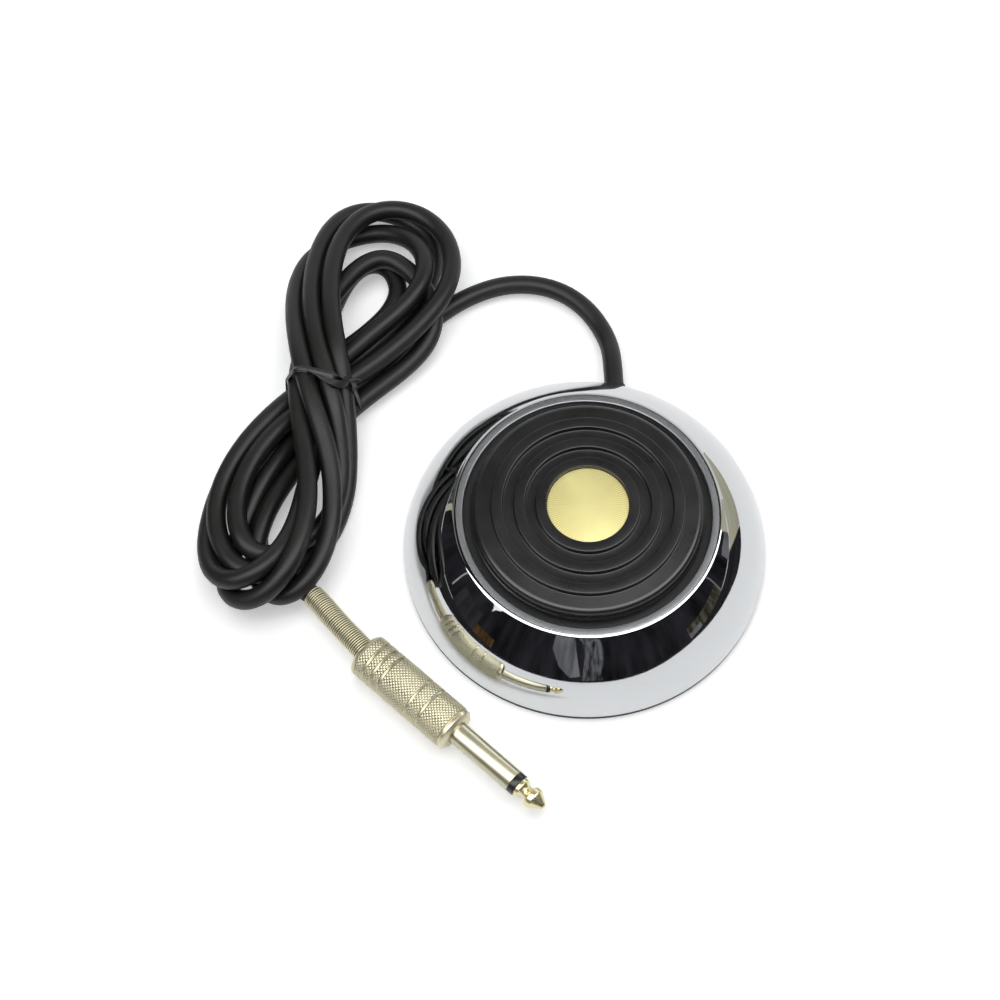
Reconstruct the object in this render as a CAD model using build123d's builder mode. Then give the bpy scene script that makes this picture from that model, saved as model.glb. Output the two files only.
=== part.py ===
from build123d import *
import os
from math import cos, radians, sin, sqrt, tan

os.makedirs("parts", exist_ok=True)

# Round foot switch, millimetres. Origin: centre of the base on the floor, +Z up, +Y to the cord's side.

# Housing
rim_radius = 50.0
foot_height = 1.6
lip_height = 24.45
flank_radius = 44.8
lip_corner_radius = 3.0
land_width = 2.45
mouth_gap = 2.6
lip_thickness = 2.4
wall = 2.0
rim_edge_radius = 0.5
mouth_edge_radius = 0.4

# Base plate, its screws and the rubber ring under it
plate_thickness = 2.0
plate_gap = 0.4
foot_ring_inset = 0.8
foot_ring_width = 6.7
foot_ring_edge = 0.35
post_inset = 10.5
post_radius = 3.6
post_count = 3
post_start_angle = 30.0
screw_radius = 1.5
screw_hole_clearance = 0.15
screw_head_radius = 2.9
screw_head_depth = 1.5
screw_length = 9.0
post_hole_depth = 9.0
thread_clearance = 0.03
slot_width = 0.7
slot_depth = 0.6

# Tread
travel = 2.2
stop_gap = 0.3
pad_plate_catch = 1.5
pad_plate_thickness = 1.5
tread_skirt_radius = 30.7
bead_radius = 0.95
bead_height = 24.55
shoulder_taper = 0.8
shoulder_fillet = 2.2
ring_top = 29.6
ring_step = 1.5
ring_radii = (13.95, 16.75, 19.75, 22.7, 25.8)
ring_edge_radius = 0.3
badge_radius = 10.9
badge_thickness = 0.5
badge_gap = 0.1

# Guide and spring
stem_radius = 3.0
running_clearance = 0.05
stem_spigot_radius = 2.2
stem_floor_gap = 0.6
bush_wall = 2.0
bush_flange_radius = 7.0
bush_flange_thickness = 1.2
bush_height = 10.0
bush_floor = 1.6
spigot_step = 1.0
spring_wire_radius = 0.6
spring_radius = 8.6
spring_turns = 5.5
seat_gap = 0.1

# Contacts
board_inner_radius = 13.0
board_outer_radius = 33.0
board_thickness = 2.0
contact_inner_radius = 18.0
contact_outer_radius = 27.0
contact_thickness = 0.8
contact_split = 4.0
contact_air_gap = 0.3
bridge_inner_radius = 18.8
bridge_outer_radius = 22.8
bridge_thickness = 0.8
holder_inner_radius = 11.0
holder_outer_radius = 25.0
holder_flange = 2.0
skirt_inner_radius = 19.6
skirt_outer_radius = 22.0
holder_screw_circle = 16.0
holder_screw_radius = 1.0
holder_head_radius = 1.9
holder_head_height = 1.0
holder_screw_count = 3
rivet_radius = 0.9
rivet_head_radius = 1.5
rivet_head_height = 0.6
rivet_circle_radius = 25.1
rivet_angle = 40.0
board_rivet_circle = 15.6
terminal_circle = 30.2
terminal_angle = 20.0
tab_width = 5.6
terminal_head_radius = 2.0
terminal_head_height = 1.2

# Cord, its bush and its clip
cord_diameter = 5.5
cord_x = 9.2
cord_exit_height = 7.4
cord_end_inset = 13.0
bush_bore_clearance = 0.1
cord_bush_wall = 0.75
cord_bush_fit = 0.05
cord_bush_inset = 6.5
clip_width = 4.0
clip_clearance = 0.05
clip_inset = 10.0
clip_tab_length = 8.0
clip_tab_thickness = 1.0
clip_screw_radius = 1.25
clip_head_radius = 2.3
clip_head_height = 1.2
core_diameter = 1.6
core_spread = 1.1
lead_end_gap = 0.1
cord_floor_height = 2.8
cord_straight = 3.0
bend_share = 0.45

# Hank of cord and its tie
hank_height = 15.0
hank_crown_radius = 4.0
opening_corner_radius = 1.0
waist_height = 22.0
waist_x = -73.4
waist_y = 44.5
waist_width = 19.8
waist_length = 16.0
waist_corner_radius = 5.0
tie_width = 2.2
tie_thickness = 0.7

# Plug, with its axis from the spring to the tip
barrel_radius = 6.25
barrel_start = Vector(-59.4, -33.2, barrel_radius)
plug_angle = -41.9
barrel_length = 31.3
barrel_nose_radius = 1.3
barrel_wall = 1.2
band_depth = 0.25
band_width = 1.1
band_places = (4.2, 7.0, 9.7, 19.7, 23.8)
flange_length = 2.1
flange_radius = 6.05
flange_chamfer = 1.1
thread_length = 8.0
shaft_radius = 3.175
shaft_length = 20.0
insulator_length = 1.9
insulator_radius = 2.85
tip_length = 8.7
tip_rod_radius = 1.1
tip_collar_radius = 2.65
tip_collar_length = 1.1
tip_neck_radius = 1.75
tip_neck_start = 2.2
tip_neck_end = 3.1
tip_ball_radius = 2.95
tip_ball_start = 3.8
tip_ball_end = 5.6
tip_end_radius = 0.7
rod_overhang = 3.0
lug_radius = 3.0
lug_thickness = 0.8
lug_lead_height = 2.1
sleeve_lead_height = 4.1
liner_wall = 0.7
liner_gap = 0.05
plug_spring_radius = 3.7
plug_spring_clearance = 0.2
spring_from = 0.38
spring_to = 0.985
barrel_back_length = 3.2
tail_straight = 10.0
tail_depth = 3.6

# Sizes and heights that follow
mouth_radius = tread_skirt_radius + mouth_gap
flank_top_radius = mouth_radius + land_width
pad_plate_radius = mouth_radius + pad_plate_catch
shoulder_radius = tread_skirt_radius - shoulder_taper
foot_ring_outer_radius = rim_radius - foot_ring_inset
foot_ring_inner_radius = foot_ring_outer_radius - foot_ring_width
post_circle_radius = rim_radius - post_inset
cord_inner_end_y = rim_radius - cord_end_inset
cord_bush_start_y = rim_radius - cord_bush_inset
clip_centre_y = rim_radius - clip_inset
plate_top = foot_height + plate_thickness
lip_underside = lip_height - lip_thickness
pad_plate_top = lip_underside - stop_gap
pad_plate_bottom = pad_plate_top - pad_plate_thickness
ring_floor = ring_top - ring_step
badge_top = ring_floor + badge_thickness
contact_top = plate_top + board_thickness + contact_thickness
bridge_bottom = contact_top + travel + contact_air_gap
bridge_top = bridge_bottom + bridge_thickness
cord_radius = cord_diameter / 2


def arc_centre(start, end, radius):
    """Centre of the arc that bulges away from the axis, from start down to end."""
    half = (end - start) / 2
    reach = sqrt(radius**2 - half.length**2)
    across = Vector(half.Y, -half.X).normalized()
    return start + half + across * reach


# Shell: a domed wall round a flat land, whose mouth holds the tread down
flank_top = Vector(flank_top_radius, lip_height)
flank_foot = Vector(rim_radius, foot_height)
flank_centre = arc_centre(flank_top, flank_foot, flank_radius)
inner_flank_radius = flank_radius - wall
cord_hole_radius = cord_radius + bush_bore_clearance + cord_bush_wall


def inner_flank_point(height):
    """Point of the wall's inner face at a height."""
    rise = height - flank_centre.Y
    return Vector(flank_centre.X + sqrt(inner_flank_radius**2 - rise**2), height)


with BuildPart() as outer_form:
    with BuildSketch(Plane.XZ) as dome:
        with BuildLine():
            Polyline(flank_foot, (0, foot_height), (0, lip_height), flank_top)
            RadiusArc(flank_top, flank_foot, flank_radius)
        make_face()
        lip_corner = dome.vertices().group_by(Axis.Y)[-1].sort_by(Axis.X)[-1]
        fillet(lip_corner, lip_corner_radius)
        rim_corner = dome.vertices().sort_by(Axis.X)[-1]
        fillet(rim_corner, rim_edge_radius)
    revolve(axis=Axis.Z)

with BuildPart() as cavity:
    with BuildSketch(Plane.XZ):
        with BuildLine():
            Polyline(
                inner_flank_point(lip_underside),
                (0, lip_underside),
                (0, foot_height),
                inner_flank_point(foot_height),
            )
            RadiusArc(inner_flank_point(lip_underside), inner_flank_point(foot_height), inner_flank_radius)
        make_face()
    revolve(axis=Axis.Z)
    with Locations((0, 0, plate_top)):
        with PolarLocations(post_circle_radius, post_count, start_angle=post_start_angle):
            Cylinder(
                post_radius,
                lip_height,
                align=(Align.CENTER, Align.CENTER, Align.MIN),
                mode=Mode.SUBTRACT,
            )

with BuildPart() as shell:
    add(outer_form.part)
    add(cavity.part, mode=Mode.SUBTRACT)
    with Locations((0, 0, lip_height)):
        Hole(mouth_radius, depth=2 * lip_thickness)
    mouth_edge = shell.edges().filter_by(GeomType.CIRCLE).group_by(Axis.Z)[-1].sort_by(SortBy.RADIUS)[0]
    fillet(mouth_edge, mouth_edge_radius)
    with Locations((0, 0, plate_top)):
        with PolarLocations(post_circle_radius, post_count, start_angle=post_start_angle):
            Cylinder(
                screw_radius + thread_clearance,
                post_hole_depth,
                align=(Align.CENTER, Align.CENTER, Align.MIN),
                mode=Mode.SUBTRACT,
            )
    with Locations((cord_x, rim_radius, cord_exit_height)):
        Cylinder(cord_hole_radius, rim_radius / 2, rotation=(90, 0, 0), mode=Mode.SUBTRACT)
shell.part.label = "shell"
export_step(shell.part, "parts/shell.step")

# Bush that lines the cord's hole, flush with the dome outside
with BuildPart() as cord_bush:
    with Locations((cord_x, cord_bush_start_y, cord_exit_height)):
        Cylinder(
            cord_hole_radius - cord_bush_fit,
            cord_diameter * 2,
            rotation=(-90, 0, 0),
            align=(Align.CENTER, Align.CENTER, Align.MIN),
        )
        Cylinder(cord_radius + bush_bore_clearance, cord_diameter * 6, rotation=(-90, 0, 0), mode=Mode.SUBTRACT)
    add(outer_form.part, mode=Mode.INTERSECT)
cord_bush.part.label = "cord_bush"
export_step(cord_bush.part, "parts/cord_bush.step")

# Base plate, held up against the shell's posts
plate_radius = inner_flank_point(plate_top).X - plate_gap
bush_outer_radius = stem_radius + running_clearance + bush_wall
bush_spigot_radius = bush_outer_radius - spigot_step
rivet_places = [
    (rivet_circle_radius * cos(radians(a)), rivet_circle_radius * sin(radians(a)))
    for a in (rivet_angle, -rivet_angle, 180 - rivet_angle, 180 + rivet_angle)
]
board_rivet_places = PolarLocations(board_rivet_circle, 3)
terminal_places = [
    (side * terminal_circle * sin(radians(terminal_angle)), terminal_circle * cos(radians(terminal_angle)))
    for side in (1, -1)
]
clip_screw_place = (cord_x - clip_tab_length, clip_centre_y)

with BuildPart() as base_plate:
    with BuildSketch(Plane.XY.offset(foot_height)):
        Circle(plate_radius)
        Circle(bush_spigot_radius + thread_clearance, mode=Mode.SUBTRACT)
        with board_rivet_places:
            Circle(rivet_radius + thread_clearance, mode=Mode.SUBTRACT)
        with Locations(clip_screw_place):
            Circle(clip_screw_radius + thread_clearance, mode=Mode.SUBTRACT)
    extrude(amount=plate_thickness)
    with Locations(Plane(origin=(0, 0, foot_height), x_dir=(1, 0, 0), z_dir=(0, 0, -1))):
        with PolarLocations(post_circle_radius, post_count, start_angle=-post_start_angle):
            CounterSinkHole(
                radius=screw_radius + screw_hole_clearance,
                counter_sink_radius=screw_head_radius + screw_hole_clearance,
                depth=plate_thickness,
            )
base_plate.part.label = "base_plate"
export_step(base_plate.part, "parts/base_plate.step")

# Three countersunk screws, heads flush with the underside
with BuildPart() as base_screws:
    with BuildSketch(Plane.XZ):
        with BuildLine():
            Polyline(
                (0, foot_height),
                (screw_head_radius, foot_height),
                (screw_radius, foot_height + screw_head_radius - screw_radius),
                (screw_radius, foot_height + screw_length),
                (0, foot_height + screw_length),
                close=True,
            )
        make_face()
    revolve(axis=Axis.Z)
    with Locations((0, 0, foot_height)):
        Box(2 * screw_head_radius, slot_width, 2 * slot_depth, mode=Mode.SUBTRACT)
one_screw = base_screws.part
with BuildPart() as base_screws:
    with PolarLocations(post_circle_radius, post_count, start_angle=post_start_angle):
        add(one_screw)
base_screws.part.label = "base_screws"
export_step(base_screws.part, "parts/base_screws.step")

with BuildPart() as foot_ring:
    with BuildSketch():
        Circle(foot_ring_outer_radius)
        Circle(foot_ring_inner_radius, mode=Mode.SUBTRACT)
    extrude(amount=foot_height)
    fillet(foot_ring.edges().group_by(Axis.Z)[0], foot_ring_edge)
foot_ring.part.label = "foot_ring"
export_step(foot_ring.part, "parts/foot_ring.step")

# Rubber tread: rolled lower edge, round shoulder, three raised rings and a recess for the badge
with BuildPart() as tread_pad:
    with BuildSketch(Plane.XZ) as tread_section:
        with BuildLine():
            Polyline(
                (0, pad_plate_top),
                (tread_skirt_radius, pad_plate_top),
                (tread_skirt_radius, bead_height),
                (shoulder_radius, ring_floor),
                (0, ring_floor),
                close=True,
            )
        make_face()
        fillet(tread_section.vertices().group_by(Axis.Y)[-1].sort_by(Axis.X)[-1], shoulder_fillet)
        with Locations((tread_skirt_radius - bead_radius / 4, bead_height)):
            Circle(bead_radius)
    revolve(axis=Axis.Z)
    with BuildSketch(Plane.XY.offset(ring_floor)):
        Circle(ring_radii[4])
        Circle(ring_radii[3], mode=Mode.SUBTRACT)
        Circle(ring_radii[2])
        Circle(ring_radii[1], mode=Mode.SUBTRACT)
        Circle(ring_radii[0])
        Circle(badge_radius + badge_gap, mode=Mode.SUBTRACT)
    extrude(amount=ring_step)
    fillet(tread_pad.edges().filter_by(GeomType.CIRCLE).group_by(Axis.Z)[-1], ring_edge_radius)
tread_pad.part.label = "tread_pad"
export_step(tread_pad.part, "parts/tread_pad.step")

with BuildPart() as badge_disc:
    with BuildSketch(Plane.XY.offset(ring_floor)):
        Circle(badge_radius)
    extrude(amount=badge_thickness)
    chamfer(badge_disc.edges().group_by(Axis.Z)[-1], badge_thickness / 4)
badge_disc.part.label = "badge_disc"
export_step(badge_disc.part, "parts/badge_disc.step")

# Steel disc under the tread, wider than the mouth
holder_screw_places = PolarLocations(holder_screw_circle, holder_screw_count, start_angle=60)
with BuildPart() as pad_plate:
    with BuildSketch(Plane.XY.offset(pad_plate_bottom)):
        Circle(pad_plate_radius)
        Circle(stem_spigot_radius + thread_clearance, mode=Mode.SUBTRACT)
        with holder_screw_places:
            Circle(holder_screw_radius + thread_clearance, mode=Mode.SUBTRACT)
    extrude(amount=pad_plate_thickness)
    fillet(pad_plate.edges().group_by(Axis.Z)[0].sort_by(SortBy.RADIUS)[-1], pad_plate_thickness / 3)
pad_plate.part.label = "pad_plate"
export_step(pad_plate.part, "parts/pad_plate.step")

# Stem of the tread in its blind bush on the base plate
bush_floor_top = foot_height + bush_floor
stem_bottom = bush_floor_top + travel + stem_floor_gap
with BuildPart() as guide_stem:
    with BuildSketch(Plane.XY.offset(stem_bottom)):
        Circle(stem_radius)
    extrude(amount=pad_plate_bottom - stem_bottom)
    with BuildSketch(Plane.XY.offset(pad_plate_bottom)):
        Circle(stem_spigot_radius)
    extrude(amount=pad_plate_thickness)
    chamfer(guide_stem.edges().group_by(Axis.Z)[0], stem_radius / 5)
guide_stem.part.label = "guide_stem"
export_step(guide_stem.part, "parts/guide_stem.step")

with BuildPart() as guide_bush:
    with BuildSketch(Plane.XY.offset(foot_height)):
        Circle(bush_spigot_radius)
    extrude(amount=plate_thickness)
    with BuildSketch(Plane.XY.offset(plate_top)):
        Circle(bush_flange_radius)
    extrude(amount=bush_flange_thickness)
    with BuildSketch(Plane.XY.offset(plate_top)):
        Circle(bush_outer_radius)
    extrude(amount=bush_height)
    chamfer(guide_bush.edges().group_by(Axis.Z)[-1], bush_wall / 4)
    with Locations((0, 0, bush_floor_top)):
        Cylinder(
            stem_radius + running_clearance,
            plate_top + bush_height - bush_floor_top,
            align=(Align.CENTER, Align.CENTER, Align.MIN),
            mode=Mode.SUBTRACT,
        )
guide_bush.part.label = "guide_bush"
export_step(guide_bush.part, "parts/guide_bush.step")

# Return spring between the base plate and the disc
spring_low = plate_top + spring_wire_radius + seat_gap
spring_high = pad_plate_bottom - spring_wire_radius - seat_gap
with BuildPart() as return_spring:
    with BuildLine(Plane.XY.offset(spring_low)) as coil:
        Helix(
            pitch=(spring_high - spring_low) / spring_turns,
            height=spring_high - spring_low,
            radius=spring_radius,
        )
    with BuildSketch(Plane(origin=coil.line @ 0, z_dir=coil.line % 0)):
        Circle(spring_wire_radius)
    sweep(is_frenet=True)
return_spring.part.label = "return_spring"
export_step(return_spring.part, "parts/return_spring.step")

# Insulating holder that hangs the bridge ring under the disc
with BuildPart() as contact_holder:
    with BuildSketch(Plane.XY.offset(pad_plate_bottom - holder_flange)):
        Circle(holder_outer_radius)
        Circle(holder_inner_radius, mode=Mode.SUBTRACT)
        with holder_screw_places:
            Circle(holder_screw_radius + thread_clearance, mode=Mode.SUBTRACT)
    extrude(amount=holder_flange)
    with BuildSketch(Plane.XY.offset(bridge_top)):
        Circle(skirt_outer_radius)
        Circle(skirt_inner_radius, mode=Mode.SUBTRACT)
    extrude(amount=pad_plate_bottom - holder_flange - bridge_top)
contact_holder.part.label = "contact_holder"
export_step(contact_holder.part, "parts/contact_holder.step")

with BuildPart() as bridge_ring:
    with BuildSketch(Plane.XY.offset(bridge_bottom)):
        Circle(bridge_outer_radius)
        Circle(bridge_inner_radius, mode=Mode.SUBTRACT)
    extrude(amount=bridge_thickness)
bridge_ring.part.label = "bridge_ring"
export_step(bridge_ring.part, "parts/bridge_ring.step")

with BuildPart() as holder_screws:
    with BuildSketch(Plane.XY.offset(pad_plate_bottom - holder_flange)):
        with holder_screw_places:
            Circle(holder_screw_radius)
    extrude(amount=holder_flange + pad_plate_thickness)
    with BuildSketch(Plane.XY.offset(pad_plate_bottom - holder_flange)):
        with holder_screw_places:
            Circle(holder_head_radius)
    extrude(amount=-holder_head_height)
holder_screws.part.label = "holder_screws"
export_step(holder_screws.part, "parts/holder_screws.step")

# Fixed side of the switch: board, two half rings and what fastens them
board_top = plate_top + board_thickness
with BuildPart() as contact_board:
    with BuildSketch(Plane.XY.offset(plate_top)):
        Circle(board_outer_radius)
        Circle(board_inner_radius, mode=Mode.SUBTRACT)
        with Locations(rivet_places, terminal_places):
            Circle(rivet_radius + thread_clearance, mode=Mode.SUBTRACT)
        with board_rivet_places:
            Circle(rivet_radius + thread_clearance, mode=Mode.SUBTRACT)
    extrude(amount=board_thickness)
contact_board.part.label = "contact_board"
export_step(contact_board.part, "parts/contact_board.step")

with BuildPart() as fixed_contact_right:
    with BuildSketch(Plane.XY.offset(board_top)):
        Circle(contact_outer_radius)
        Circle(contact_inner_radius, mode=Mode.SUBTRACT)
        with Locations((contact_split / 2, 0)):
            Rectangle(
                2 * contact_outer_radius,
                2 * contact_outer_radius,
                align=(Align.MIN, Align.CENTER),
                mode=Mode.INTERSECT,
            )
        with Locations(Location((0, 0), -terminal_angle)):
            with Locations((0, contact_inner_radius + 1)):
                Rectangle(
                    tab_width,
                    board_outer_radius - contact_inner_radius - 1.5,
                    align=(Align.CENTER, Align.MIN),
                )
        with Locations(rivet_places[:2], terminal_places[:1]):
            Circle(rivet_radius + thread_clearance, mode=Mode.SUBTRACT)
    extrude(amount=contact_thickness)
fixed_contact_right.part.label = "fixed_contact_right"
export_step(fixed_contact_right.part, "parts/fixed_contact_right.step")

with BuildPart() as fixed_contact_left:
    mirror(fixed_contact_right.part, about=Plane.YZ)
fixed_contact_left.part.label = "fixed_contact_left"
export_step(fixed_contact_left.part, "parts/fixed_contact_left.step")

with BuildPart() as contact_rivets:
    with BuildSketch(Plane.XY.offset(plate_top)):
        with Locations(rivet_places):
            Circle(rivet_radius)
    extrude(amount=board_thickness + contact_thickness)
    with BuildSketch(Plane.XY.offset(contact_top)):
        with Locations(rivet_places):
            Circle(rivet_head_radius)
    extrude(amount=rivet_head_height)
contact_rivets.part.label = "contact_rivets"
export_step(contact_rivets.part, "parts/contact_rivets.step")

with BuildPart() as board_rivets:
    with BuildSketch(Plane.XY.offset(foot_height)):
        with board_rivet_places:
            Circle(rivet_radius)
    extrude(amount=plate_thickness + board_thickness)
    with BuildSketch(Plane.XY.offset(board_top)):
        with board_rivet_places:
            Circle(rivet_head_radius)
    extrude(amount=rivet_head_height)
board_rivets.part.label = "board_rivets"
export_step(board_rivets.part, "parts/board_rivets.step")

with BuildPart() as terminal_screws:
    with BuildSketch(Plane.XY.offset(plate_top)):
        with Locations(terminal_places):
            Circle(rivet_radius)
    extrude(amount=board_thickness + contact_thickness)
    with BuildSketch(Plane.XY.offset(contact_top)):
        with Locations(terminal_places):
            Circle(terminal_head_radius)
    extrude(amount=terminal_head_height)
    with Locations([(x, y, contact_top + terminal_head_height) for x, y in terminal_places]):
        Box(2 * terminal_head_radius, slot_width, slot_depth, mode=Mode.SUBTRACT)
terminal_screws.part.label = "terminal_screws"
export_step(terminal_screws.part, "parts/terminal_screws.step")

# Saddle clip that anchors the cord on the base plate, and its screw
clip_bore = cord_radius + clip_clearance
clip_outer = cord_exit_height - plate_top
with BuildPart() as cord_clip:
    with BuildSketch(Plane.XZ.offset(-clip_centre_y)):
        with Locations((cord_x, cord_exit_height)):
            Circle(clip_outer)
        with Locations((cord_x, plate_top)):
            Rectangle(
                clip_tab_length + clip_head_radius,
                clip_tab_thickness,
                align=(Align.MAX, Align.MIN),
            )
        with Locations((cord_x, cord_exit_height)):
            Circle(clip_bore, mode=Mode.SUBTRACT)
    extrude(amount=clip_width / 2, both=True)
    with Locations((*clip_screw_place, plate_top)):
        Cylinder(clip_screw_radius + thread_clearance, 2 * clip_tab_thickness + plate_top, mode=Mode.SUBTRACT)
cord_clip.part.label = "cord_clip"
export_step(cord_clip.part, "parts/cord_clip.step")

with BuildPart() as cord_clip_screw:
    with BuildSketch(Plane.XY.offset(foot_height)):
        with Locations(clip_screw_place):
            Circle(clip_screw_radius)
    extrude(amount=plate_thickness + clip_tab_thickness)
    with BuildSketch(Plane.XY.offset(plate_top + clip_tab_thickness)):
        with Locations(clip_screw_place):
            Circle(clip_head_radius)
    extrude(amount=clip_head_height)
    chamfer(cord_clip_screw.edges().group_by(Axis.Z)[-1], clip_head_height / 4)
    with Locations((*clip_screw_place, plate_top + clip_tab_thickness + clip_head_height)):
        Box(slot_width, 2 * clip_head_radius, slot_depth, mode=Mode.SUBTRACT)
cord_clip_screw.part.label = "cord_clip_screw"
export_step(cord_clip_screw.part, "parts/cord_clip_screw.step")


def bend_radii(name, points):
    """Fillet radius for each inner point of a route, from its shorter run and its turn."""
    radii = []
    for before, here, after in zip(points, points[1:], points[2:]):
        first = Vector(*here) - Vector(*before)
        second = Vector(*after) - Vector(*here)
        half_turn = radians(first.get_angle(second)) / 2
        radii.append(bend_share * min(first.length, second.length) / tan(half_turn))
    print(name, "bend radii", [round(r, 1) for r in radii])
    return radii


# Conductors from the cord's end to the terminals
core_height = contact_top + core_diameter / 2
lead_end_y = terminal_places[0][1] + terminal_head_radius + lead_end_gap
lead_right_route = [
    (cord_x + core_spread, cord_inner_end_y, cord_exit_height),
    (cord_x + core_spread, cord_inner_end_y - 2.4, cord_exit_height),
    (cord_x + core_spread + 0.3, lead_end_y + 2.0, core_height),
    (terminal_places[0][0], lead_end_y, core_height),
]
lead_left_route = [
    (cord_x - core_spread, cord_inner_end_y, cord_exit_height),
    (cord_x - core_spread, cord_inner_end_y - 4.6, cord_exit_height),
    (terminal_places[0][0] / 2, terminal_places[0][1] + 0.8, cord_exit_height),
    (-1.6, terminal_places[0][1] + 0.5, core_height),
    (terminal_places[1][0] + terminal_head_radius + lead_end_gap, terminal_places[1][1] + 0.4, core_height),
]

with BuildPart() as lead_right:
    with BuildLine() as lead_right_line:
        FilletPolyline(*lead_right_route, radius=bend_radii("lead_right", lead_right_route))
    with BuildSketch(Plane(origin=lead_right_line.line @ 0, z_dir=lead_right_line.line % 0)):
        Circle(core_diameter / 2)
    sweep()
lead_right.part.label = "lead_right"
export_step(lead_right.part, "parts/lead_right.step")

with BuildPart() as lead_left:
    with BuildLine() as lead_left_line:
        FilletPolyline(*lead_left_route, radius=bend_radii("lead_left", lead_left_route))
    with BuildSketch(Plane(origin=lead_left_line.line @ 0, z_dir=lead_left_line.line % 0)):
        Circle(core_diameter / 2)
    sweep()
lead_left.part.label = "lead_left"
export_step(lead_left.part, "parts/lead_left.step")

# Cord from the pedal round to the hank
cord_lead_route = [
    (cord_x, cord_inner_end_y, cord_exit_height),
    (cord_x, rim_radius + cord_straight, cord_exit_height),
    (8.0, 65.5, cord_floor_height),
    (1.5, 76.5, cord_floor_height),
    (-8.5, 83.0, cord_floor_height),
    (-21.0, 84.0, cord_floor_height),
    (-33.0, 79.5, cord_floor_height),
    (-43.5, 71.5, cord_floor_height),
]
with BuildPart() as cord_lead:
    with BuildLine() as cord_lead_line:
        FilletPolyline(*cord_lead_route, radius=bend_radii("cord_lead", cord_lead_route))
    with BuildSketch(Plane(origin=cord_lead_line.line @ 0, z_dir=cord_lead_line.line % 0)):
        Circle(cord_radius)
    sweep()
print("cord_lead length", round(cord_lead_line.wire().length, 1))
cord_lead.part.label = "cord_lead"
export_step(cord_lead.part, "parts/cord_lead.step")

# Hank: the outer shape of the folded cord, with the openings of its two loops
hank_outline = [
    (-83.3, 44.5), (-87, 75), (-79, 99), (-60, 111.5), (-40, 106), (-33, 87), (-43, 63),
    (-63.5, 44.5), (-62.5, 25), (-67, 2), (-78, -19), (-93, -25), (-108, -9), (-103, 18),
]
upper_opening = [(-69.8, 76.9), (-60.7, 86.3), (-58.3, 84.3), (-54.3, 74.2), (-55.7, 70.8), (-67.5, 59.9)]
lower_opening = [(-78.5, 15.0), (-81.1, 4.7), (-86.3, -1.9), (-88.3, -1.3), (-84.1, 8.6)]
with BuildPart() as cord_hank:
    with BuildSketch():
        with BuildLine():
            Spline(*hank_outline, periodic=True)
        make_face()
    extrude(amount=hank_height)
    fillet(cord_hank.edges().group_by(Axis.Z)[-1], hank_crown_radius)
    fillet(cord_hank.edges().group_by(Axis.Z)[0], cord_radius / 2)
    with BuildSketch() as upper_loop:
        Polygon(*upper_opening, align=None)
        fillet(upper_loop.vertices(), opening_corner_radius)
    extrude(amount=waist_height, mode=Mode.SUBTRACT)
    with BuildSketch() as lower_loop:
        Polygon(*lower_opening, align=None)
    extrude(amount=waist_height, mode=Mode.SUBTRACT)
    with BuildSketch(Plane.XZ.offset(-waist_y)):
        with Locations((waist_x, waist_height / 2)):
            RectangleRounded(waist_width, waist_height, waist_corner_radius)
    extrude(amount=waist_length / 2, both=True)
    with BuildSketch(Plane.XZ.offset(-waist_y)):
        with Locations((waist_x, waist_height / 2)):
            Rectangle(4 * waist_width, 4 * waist_height)
            RectangleRounded(
                waist_width - 2 * tie_thickness,
                waist_height - 2 * tie_thickness,
                waist_corner_radius,
                mode=Mode.SUBTRACT,
            )
    extrude(amount=tie_width / 2, both=True, mode=Mode.SUBTRACT)
cord_hank.part.label = "cord_hank"
export_step(cord_hank.part, "parts/cord_hank.step")

# Twist tie round the waist of the hank, flush in its groove, with the twisted ends on top
with BuildPart() as twist_tie:
    with BuildSketch(Plane.XZ.offset(-waist_y)):
        with Locations((waist_x, waist_height / 2)):
            RectangleRounded(waist_width, waist_height, waist_corner_radius)
            RectangleRounded(
                waist_width - 2 * tie_thickness,
                waist_height - 2 * tie_thickness,
                waist_corner_radius,
                mode=Mode.SUBTRACT,
            )
    extrude(amount=tie_width / 2, both=True)
twist_tie.part.label = "twist_tie"
export_step(twist_tie.part, "parts/twist_tie.step")

# Cord from the hank into the plug
plug_axis = Vector(cos(radians(plug_angle)), sin(radians(plug_angle)), 0)
tail_bend = barrel_start - plug_axis * tail_straight
tail_end = barrel_start + plug_axis * tail_depth
cord_tail_route = [
    (-80.6, -3.4, 4.2),
    (-75.6, -15.6, 5.0),
    tuple(tail_bend),
    tuple(tail_end),
]
with BuildPart() as cord_tail:
    with BuildLine() as cord_tail_line:
        FilletPolyline(*cord_tail_route, radius=bend_radii("cord_tail", cord_tail_route))
    with BuildSketch(Plane(origin=cord_tail_line.line @ 0, z_dir=cord_tail_line.line % 0)):
        Circle(cord_radius)
    sweep()
print("cord_tail length", round(cord_tail_line.wire().length, 1))
cord_tail.part.label = "cord_tail"
export_step(cord_tail.part, "parts/cord_tail.step")

# Coil spring that keeps the cord from kinking, drawn as its outer and inner faces
with BuildPart() as plug_spring:
    with BuildLine() as spring_line:
        add(cord_tail_line.wire().trim(spring_from, spring_to))
    with BuildSketch(Plane(origin=spring_line.line @ 0, z_dir=spring_line.line % 0)):
        Circle(plug_spring_radius)
        Circle(cord_radius + plug_spring_clearance, mode=Mode.SUBTRACT)
    sweep()
print("plug_spring length", round(spring_line.wire().length, 1))
plug_spring.part.label = "plug_spring"
export_step(plug_spring.part, "parts/plug_spring.step")

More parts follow.
